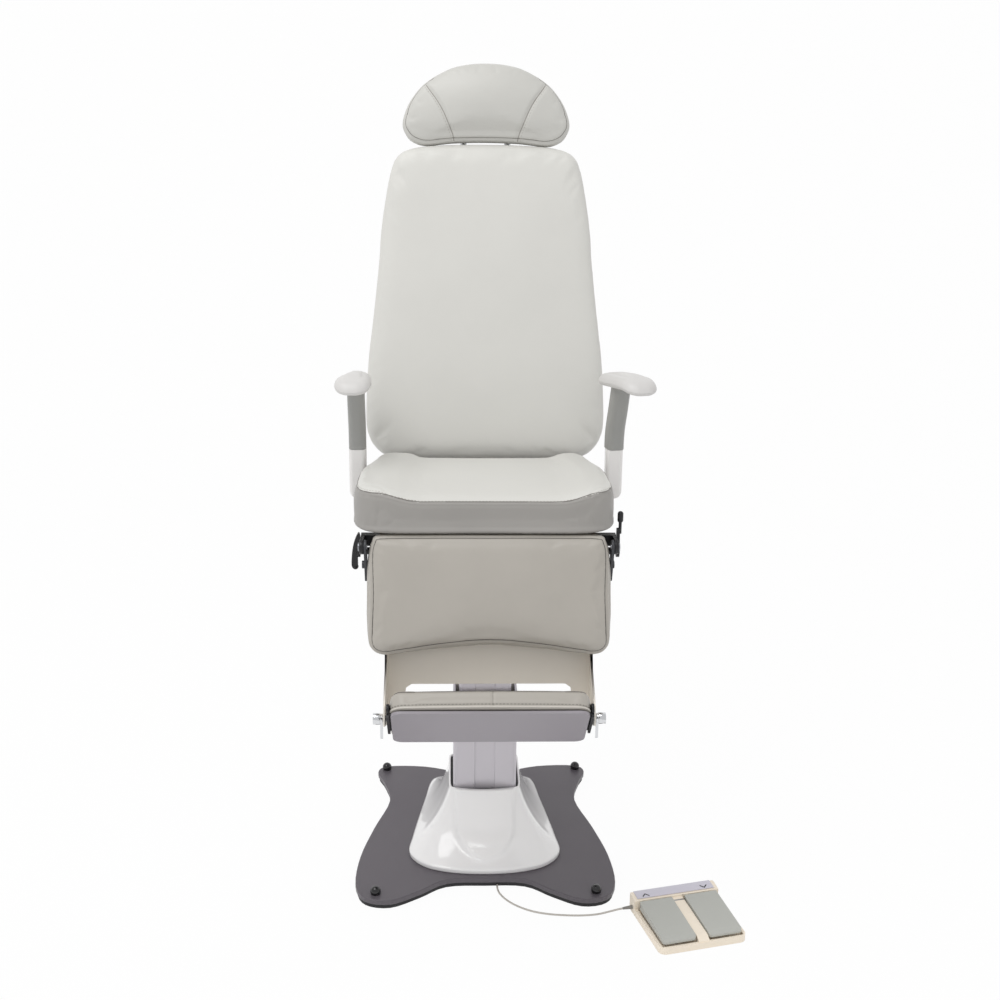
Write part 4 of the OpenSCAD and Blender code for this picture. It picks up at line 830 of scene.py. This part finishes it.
# Heights of the joint in the arm, of the upper arm's foot and of its pad, and of the straight part
ARM_JOINT, ARM_FOOT, ARM_TOP, ARM_STRAIGHT = 0.859, 0.8595, 0.996, 0.014
ARM_WIDE, ARM_DEEP = 0.034, 0.040
ARM_REACH = -(ARM_TOP - ARM_JOINT - ARM_STRAIGHT) * math.tan(math.radians(13))
# Height above the foot, share of the reach forward and share of the cut along the pad
ARM_MARKS = [(0, 0, 0), (0.002, 0, 0), (0.014, 0, 0), (0.042, 0.12, 0), (0.084, 0.55, 0),
             (0.128, 0.93, 0.9), (0.136, 1, 1)]
ARM_SHARES = [[0, -0.5], [0.45, -0.49], [0.85, -0.43], [1, -0.3], [0.98, -0.1], [0.86, 0.15],
              [0.78, 0.36], [0.6, 0.47], [0, 0.5]]
ARM_PAD_HALF, ARM_PAD_L, ARM_PAD_T = 0.035, 0.205, 0.030
ARM_PAD_TILT, ARM_PAD_AHEAD, ARM_PAD_LIP = math.radians(8), 0.026, 0.013


def arm_pieces(side, word):
    place = ARM[side]
    rings = []
    for h, lean, cut in open_curve(np.array(ARM_MARKS), 5):
        rings.append([[x, y + lean * ARM_REACH,
                       ARM_FOOT + h - cut * (y + ARM_PAD_AHEAD) * math.tan(ARM_PAD_TILT)]
                      for x, y in rounded_box(ARM_WIDE, ARM_DEEP, ARM_WIDE / 3, 6)])
    post = put(piece_from("arm_upright_" + word, *skinned(rings), ABS_GREY), place)
    right_way_out(post)
    for p in post.data.polygons:
        p.use_smooth = abs(p.normal.z) < 0.8
    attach(post, "arm_" + word)
    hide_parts("arm_upper_" + word)
    verts, faces = skinned(pad_rings(outline_of(ARM_SHARES, ARM_PAD_HALF, ARM_PAD_L, n=6), ARM_PAD_T,
                                     0.009, 0.0165, 0.006, steps=6, dome=8))
    verts = np.array(verts)
    # The front end droops over the upright like a lip
    verts[:, 2] -= ARM_PAD_LIP * np.clip((-verts[:, 1] - 0.045) / 0.058, 0, 1) ** 2
    tilt = (Matrix.Translation((0, ARM_REACH - ARM_PAD_AHEAD, ARM_TOP))
            @ Matrix.Rotation(-ARM_PAD_TILT, 4, "X"))
    pad = put(piece_from("arm_pad_cover_" + word, verts, faces, PU_SKIN), place @ tilt)
    right_way_out(pad)
    subdivided(pad)
    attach(pad, "arm_" + word)
    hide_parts("arm_pad_" + word)


arm_pieces(-1, "left")
arm_pieces(1, "right")

# Extension plate

EXT_HALF, EXT_TOP, EXT_LOW, EXT_FRONT, EXT_SHEET = 0.193, -0.065, -0.334, 0.0553, 0.003
WINDOW_HALF, WINDOW_TOP, WINDOW_LOW, WINDOW_R = 0.156, -0.258, -0.304, 0.012


def window_rims():
    """The plate's outline and its window's, as many points on both, seen from the window's middle."""
    middle = np.array([0, (WINDOW_TOP + WINDOW_LOW) / 2])
    corners = np.array([[EXT_HALF, EXT_TOP], [-EXT_HALF, EXT_TOP], [-EXT_HALF, EXT_LOW],
                        [EXT_HALF, EXT_LOW]]) - middle
    angles = np.sort(np.concatenate([np.linspace(-math.pi, math.pi, 120, endpoint=False),
                                     np.arctan2(corners[:, 1], corners[:, 0])]))
    ways = np.column_stack([np.cos(angles), np.sin(angles)])
    high = np.where(ways[:, 1] > 0, EXT_TOP - middle[1], middle[1] - EXT_LOW)
    across, along = np.maximum(np.abs(ways), 1e-9).T
    rim = ways * np.minimum(EXT_HALF / across, high / along)[:, None] + middle
    hole = rounded_box(WINDOW_HALF * 2, WINDOW_TOP - WINDOW_LOW, WINDOW_R, 6)
    edge = np.arctan2(hole[:, 1], hole[:, 0])
    order = np.argsort(edge)
    inner = [np.interp(angles, edge[order], hole[order, k], period=2 * math.pi) for k in (0, 1)]
    return rim, np.column_stack(inner) + middle


def extension_plate():
    """Folded sheet with its window low above the footrest, in the place of its solid."""
    rim, inner = window_rims()
    rings = [np.column_stack([ring[:, 0], np.full(len(ring), y), ring[:, 1]]) for ring, y in
             ((rim, EXT_FRONT), (inner, EXT_FRONT), (inner, EXT_FRONT + EXT_SHEET),
              (rim, EXT_FRONT + EXT_SHEET))]
    # The sheet and its flanges are painted lighter than their paint, as light the legrest's shade takes away
    pieces = [piece_from("extension_sheet", *skinned(rings + [rings[0]], False, False), POWDER_BEIGE_LIT,
                         smooth=False)]
    fold = EXT_FRONT + EXT_SHEET / 2
    profile = np.array([[0.0343, EXT_TOP], [0.0343, -0.212], [-0.040, -0.288], [-0.043, -0.312],
                        [-0.037, -0.3255], [fold, EXT_LOW], [fold, EXT_TOP]])
    for side, word in ((-1, "left"), (1, "right")):
        rings = [np.column_stack([np.full(len(profile), side * x), profile])
                 for x in (EXT_HALF - EXT_SHEET, EXT_HALF)]
        pieces.append(piece_from("extension_flange_" + word, *skinned(rings), POWDER_BEIGE_LIT, smooth=False))
    for piece in pieces:
        put(piece, LEG)
        right_way_out(piece)
        m = piece.modifiers.new("edge", "BEVEL")
        m.width, m.segments, m.limit_method, m.angle_limit = 0.0008, 2, "ANGLE", math.radians(40)
        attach(piece, "extension")
        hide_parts("extension_plate")


extension_plate()

# Foot switch

# The ridge from back to front, over its top and down its front slope
STRIP_LINE = [(0.0795, 0.0342), (0.0690, 0.0344), (0.0545, 0.0328)]
STRIP_HALF, STRIP_T, STRIP_EDGE, STRIP_BEVEL = 0.0815, 0.0008, 0.0002, 0.0005
# Outline of the mark for up, in mm, and the place of a mark on the strip
CHEVRON = [(-6, -3.2), (0, 2.8), (6, -3.2), (6, -5.9), (0, 0.1), (-6, -5.9)]
MARK_X, MARK_Y, MARK_Z, MARK_T, MARK_SCALE = 0.062, 0.0618, 0.0344, 0.0004, 1.15


def switch_strip():
    """Tinted strip stuck along the ridge."""
    ends = ((-STRIP_HALF, STRIP_EDGE), (STRIP_BEVEL - STRIP_HALF, STRIP_T),
            (STRIP_HALF - STRIP_BEVEL, STRIP_T), (STRIP_HALF, STRIP_EDGE))
    rings = [np.array([[x, y, z + up] for y, z in STRIP_LINE] + [[x, y, z] for y, z in STRIP_LINE[::-1]])
             for x, up in ends]
    strip = put(piece_from("switch_strip_film", *skinned(rings), STRIP, smooth=False), SWITCH)
    right_way_out(strip)
    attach(strip, "base")
    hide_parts("switch_strip")


def chevron(word, x, up):
    """Printed mark, which points away from the pedals with up at 1 and towards them at -1."""
    flat = np.array([(px, py + 1.5) for px, py in CHEVRON]) * up * MARK_SCALE / 1000
    slope = math.atan2(STRIP_LINE[1][1] - STRIP_LINE[2][1], STRIP_LINE[1][0] - STRIP_LINE[2][0])
    rings = [np.column_stack([flat, np.full(len(flat), z)]) for z in (0.0, MARK_T)]
    verts, faces = skinned(rings, False, False)
    faces += [(0, 5, 4, 1), (1, 4, 3, 2), (6, 7, 10, 11), (7, 8, 9, 10)]
    mark = piece_from("switch_mark_" + word, verts, faces, MARK, smooth=False)
    put(mark, SWITCH @ Matrix.Translation((x, MARK_Y, MARK_Z)) @ Matrix.Rotation(slope, 4, "X"))
    right_way_out(mark)
    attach(mark, "base")


switch_strip()
chevron("up", -MARK_X, 1)
chevron("down", MARK_X, -1)

# Column cover

COVER_SHARES = [[0, -1], [0.45, -0.965], [0.8, -0.85], [1, -0.62], [0.97, -0.3], [0.9, 0.1],
                [0.82, 0.5], [0.75, 0.86], [0.64, 0.985], [0.4, 1], [0, 1]]
COLLAR_SHARES = [[0, -1.08], [0.45, -1.05], [0.85, -0.97], [0.98, -0.84], [1, -0.3], [1, 0.3],
                 [1, 0.8], [0.94, 0.96], [0.75, 1.01], [0.4, 1.02], [0, 1.02]]
COVER_HALF, COVER_AHEAD, COVER_BEHIND = 0.156, 0.199, 0.208
COVER_LOW, COVER_RISE, COVER_WALL, COVER_BASE = 0.009, 0.119, 0.004, 0.020
COLLAR_HALF, COLLAR_DEEP, COLLAR_TOP = 0.075, 0.080, 0.132
# Raised tongue down the front of the cover: half width, height of its rounded foot, relief, soft edges
TONGUE_HALF, TONGUE_LOW, TONGUE_ROUND, TONGUE_OUT = 0.064, 0.014, 0.062, 0.007
TONGUE_END, TONGUE_SIDE = 0.010, 0.008
cover_foot = closed_curve(mirrored([[x * COVER_HALF, y * (COVER_AHEAD if y < 0 else COVER_BEHIND)]
                                    for x, y in COVER_SHARES]), 8)
cover_collar = outline_of(COLLAR_SHARES, COLLAR_HALF, COLLAR_DEEP, n=8)


def cover_ring(u, wall):
    """Outline and height of the cover at share u of the way up, moved in by wall."""
    a = math.pi / 2 * u
    f, g = 0.45 * u + 0.55 * math.sin(a), 0.5 * u + 0.5 * (1 - math.cos(a))
    return moved_in(cover_foot * (1 - f) + cover_collar * f, wall), COVER_LOW + COVER_RISE * g - wall / 2


def tongue(flat, z):
    """How far the tongue stands out of the cover."""
    x, y = flat.T
    across = np.abs(x) / TONGUE_HALF
    low = TONGUE_LOW + TONGUE_ROUND * (1 - np.sqrt(np.clip(1 - across ** 2, 0, 1)))
    inside = (np.clip((z - low) / TONGUE_END, 0, 1)
              * np.clip((TONGUE_HALF - np.abs(x)) / TONGUE_SIDE, 0, 1) * (y < 0))
    return TONGUE_OUT * step(inside)


def cover_piece(n=28):
    outer = [level(cover_ring(0, 0.0015 if z == 0 else 0.0)[0], z) for z in (0.0, 0.0015, 0.0045, 0.0075)]
    for k in range(n + 1):
        flat, z = cover_ring(k / n, 0)
        outer.append(level(moved_in(flat, -tongue(flat, z)[:, None]), z))
    collar = outer[-1][:, :2]
    outer += [level(collar, COLLAR_TOP - 0.001), level(moved_in(collar, 0.001), COLLAR_TOP)]
    inner = [level(moved_in(cover_collar, COVER_WALL), z) for z in (COLLAR_TOP, COLLAR_TOP - 0.004)]
    inner += [level(*cover_ring(k / n, COVER_WALL)) for k in range(n - 1, -1, -2)]
    inner.append(level(cover_ring(0, COVER_WALL)[0], 0.0))
    piece = piece_from("column_cover_moulding", *skinned(outer + inner + [outer[0]], False, False), ABS_GLOSS)
    put(piece, Matrix.Translation((0, 0, COVER_BASE)))
    right_way_out(piece)
    smooth_all(piece)
    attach(piece, "base")
    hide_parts("column_cover")


cover_piece()

# Floor, backdrop and light

# The floor turns up into a wall behind the chair; the least drop keeps it under the chair's feet
FLOOR_HALF, FLOOR_AHEAD, FLOOR_TURN, TURN_R, WALL_TOP, FLOOR_DROP = 7.0, -6.0, 2.2, 1.2, 6.0, 0.0002
LAMP_PLACE, LAMP_AIM, LAMP_SIZE, LAMP_POWER = Vector((-1.3, -1.2, 3.9)), Vector((0, 0, 0.8)), (2.6, 2.0), 46
SKY_STRENGTH = 0.73


def stage_material():
    """Plain white studio paper. The camera sees it close to white; the shadow stays."""
    material = bpy.data.materials.new("studio_paper")
    material.use_nodes = True
    tree = material.node_tree
    shader = tree.nodes["Principled BSDF"]
    shader.inputs["Base Color"].default_value = tint("#f7f7f7")
    shader.inputs["Roughness"].default_value = 0.9
    shader.inputs["Specular IOR Level"].default_value = 0.1
    glow = add(tree, "ShaderNodeEmission", {"Color": (1, 1, 1, 1), "Strength": 1.0})
    ray = add(tree, "ShaderNodeLightPath")
    through = add(tree, "ShaderNodeMath", {"operation": "MAXIMUM"},
                  {0: ray.outputs["Is Glossy Ray"], 1: ray.outputs["Is Transmission Ray"]})
    any_of = add(tree, "ShaderNodeMath", {"operation": "MAXIMUM"},
                 {0: ray.outputs["Is Camera Ray"], 1: through.outputs[0]})
    seen = add(tree, "ShaderNodeMath", {"operation": "MULTIPLY", 1: 0.96}, {0: any_of.outputs[0]})
    mix = add(tree, "ShaderNodeMixShader", {}, {0: seen.outputs[0], 1: shader.outputs[0], 2: glow.outputs[0]})
    tree.links.new(mix.outputs[0], tree.nodes["Material Output"].inputs["Surface"])
    return material


def stage():
    angles = (math.pi / 2 * k / 12 for k in range(1, 13))
    profile = [(FLOOR_AHEAD, 0.0), (FLOOR_TURN, 0.0)]
    profile += [(FLOOR_TURN + TURN_R * math.sin(a), TURN_R - TURN_R * math.cos(a)) for a in angles]
    profile += [(FLOOR_TURN + TURN_R, WALL_TOP)]
    verts = [(x, y, z - FLOOR_DROP) for y, z in profile for x in (-FLOOR_HALF, FLOOR_HALF)]
    faces = [(2 * i, 2 * i + 1, 2 * i + 3, 2 * i + 2) for i in range(len(profile) - 1)]
    piece_from("studio_floor", verts, faces, stage_material())


stage()

world = bpy.data.worlds.new("studio")
scene.world = world
world.use_nodes = True
sky = world.node_tree.nodes["Background"]
sky.inputs["Color"].default_value = tint("#ffffff")
sky.inputs["Strength"].default_value = SKY_STRENGTH

lamp = bpy.data.lights.new("softbox_top", "AREA")
lamp.shape = "RECTANGLE"
lamp.size, lamp.size_y = LAMP_SIZE
lamp.energy = LAMP_POWER
softbox = bpy.data.objects.new("softbox_top", lamp)
softbox.location = LAMP_PLACE
softbox.rotation_euler = (LAMP_AIM - LAMP_PLACE).to_track_quat("-Z", "Y").to_euler()
scene.collection.objects.link(softbox)

scene.view_settings.view_transform = "Standard"
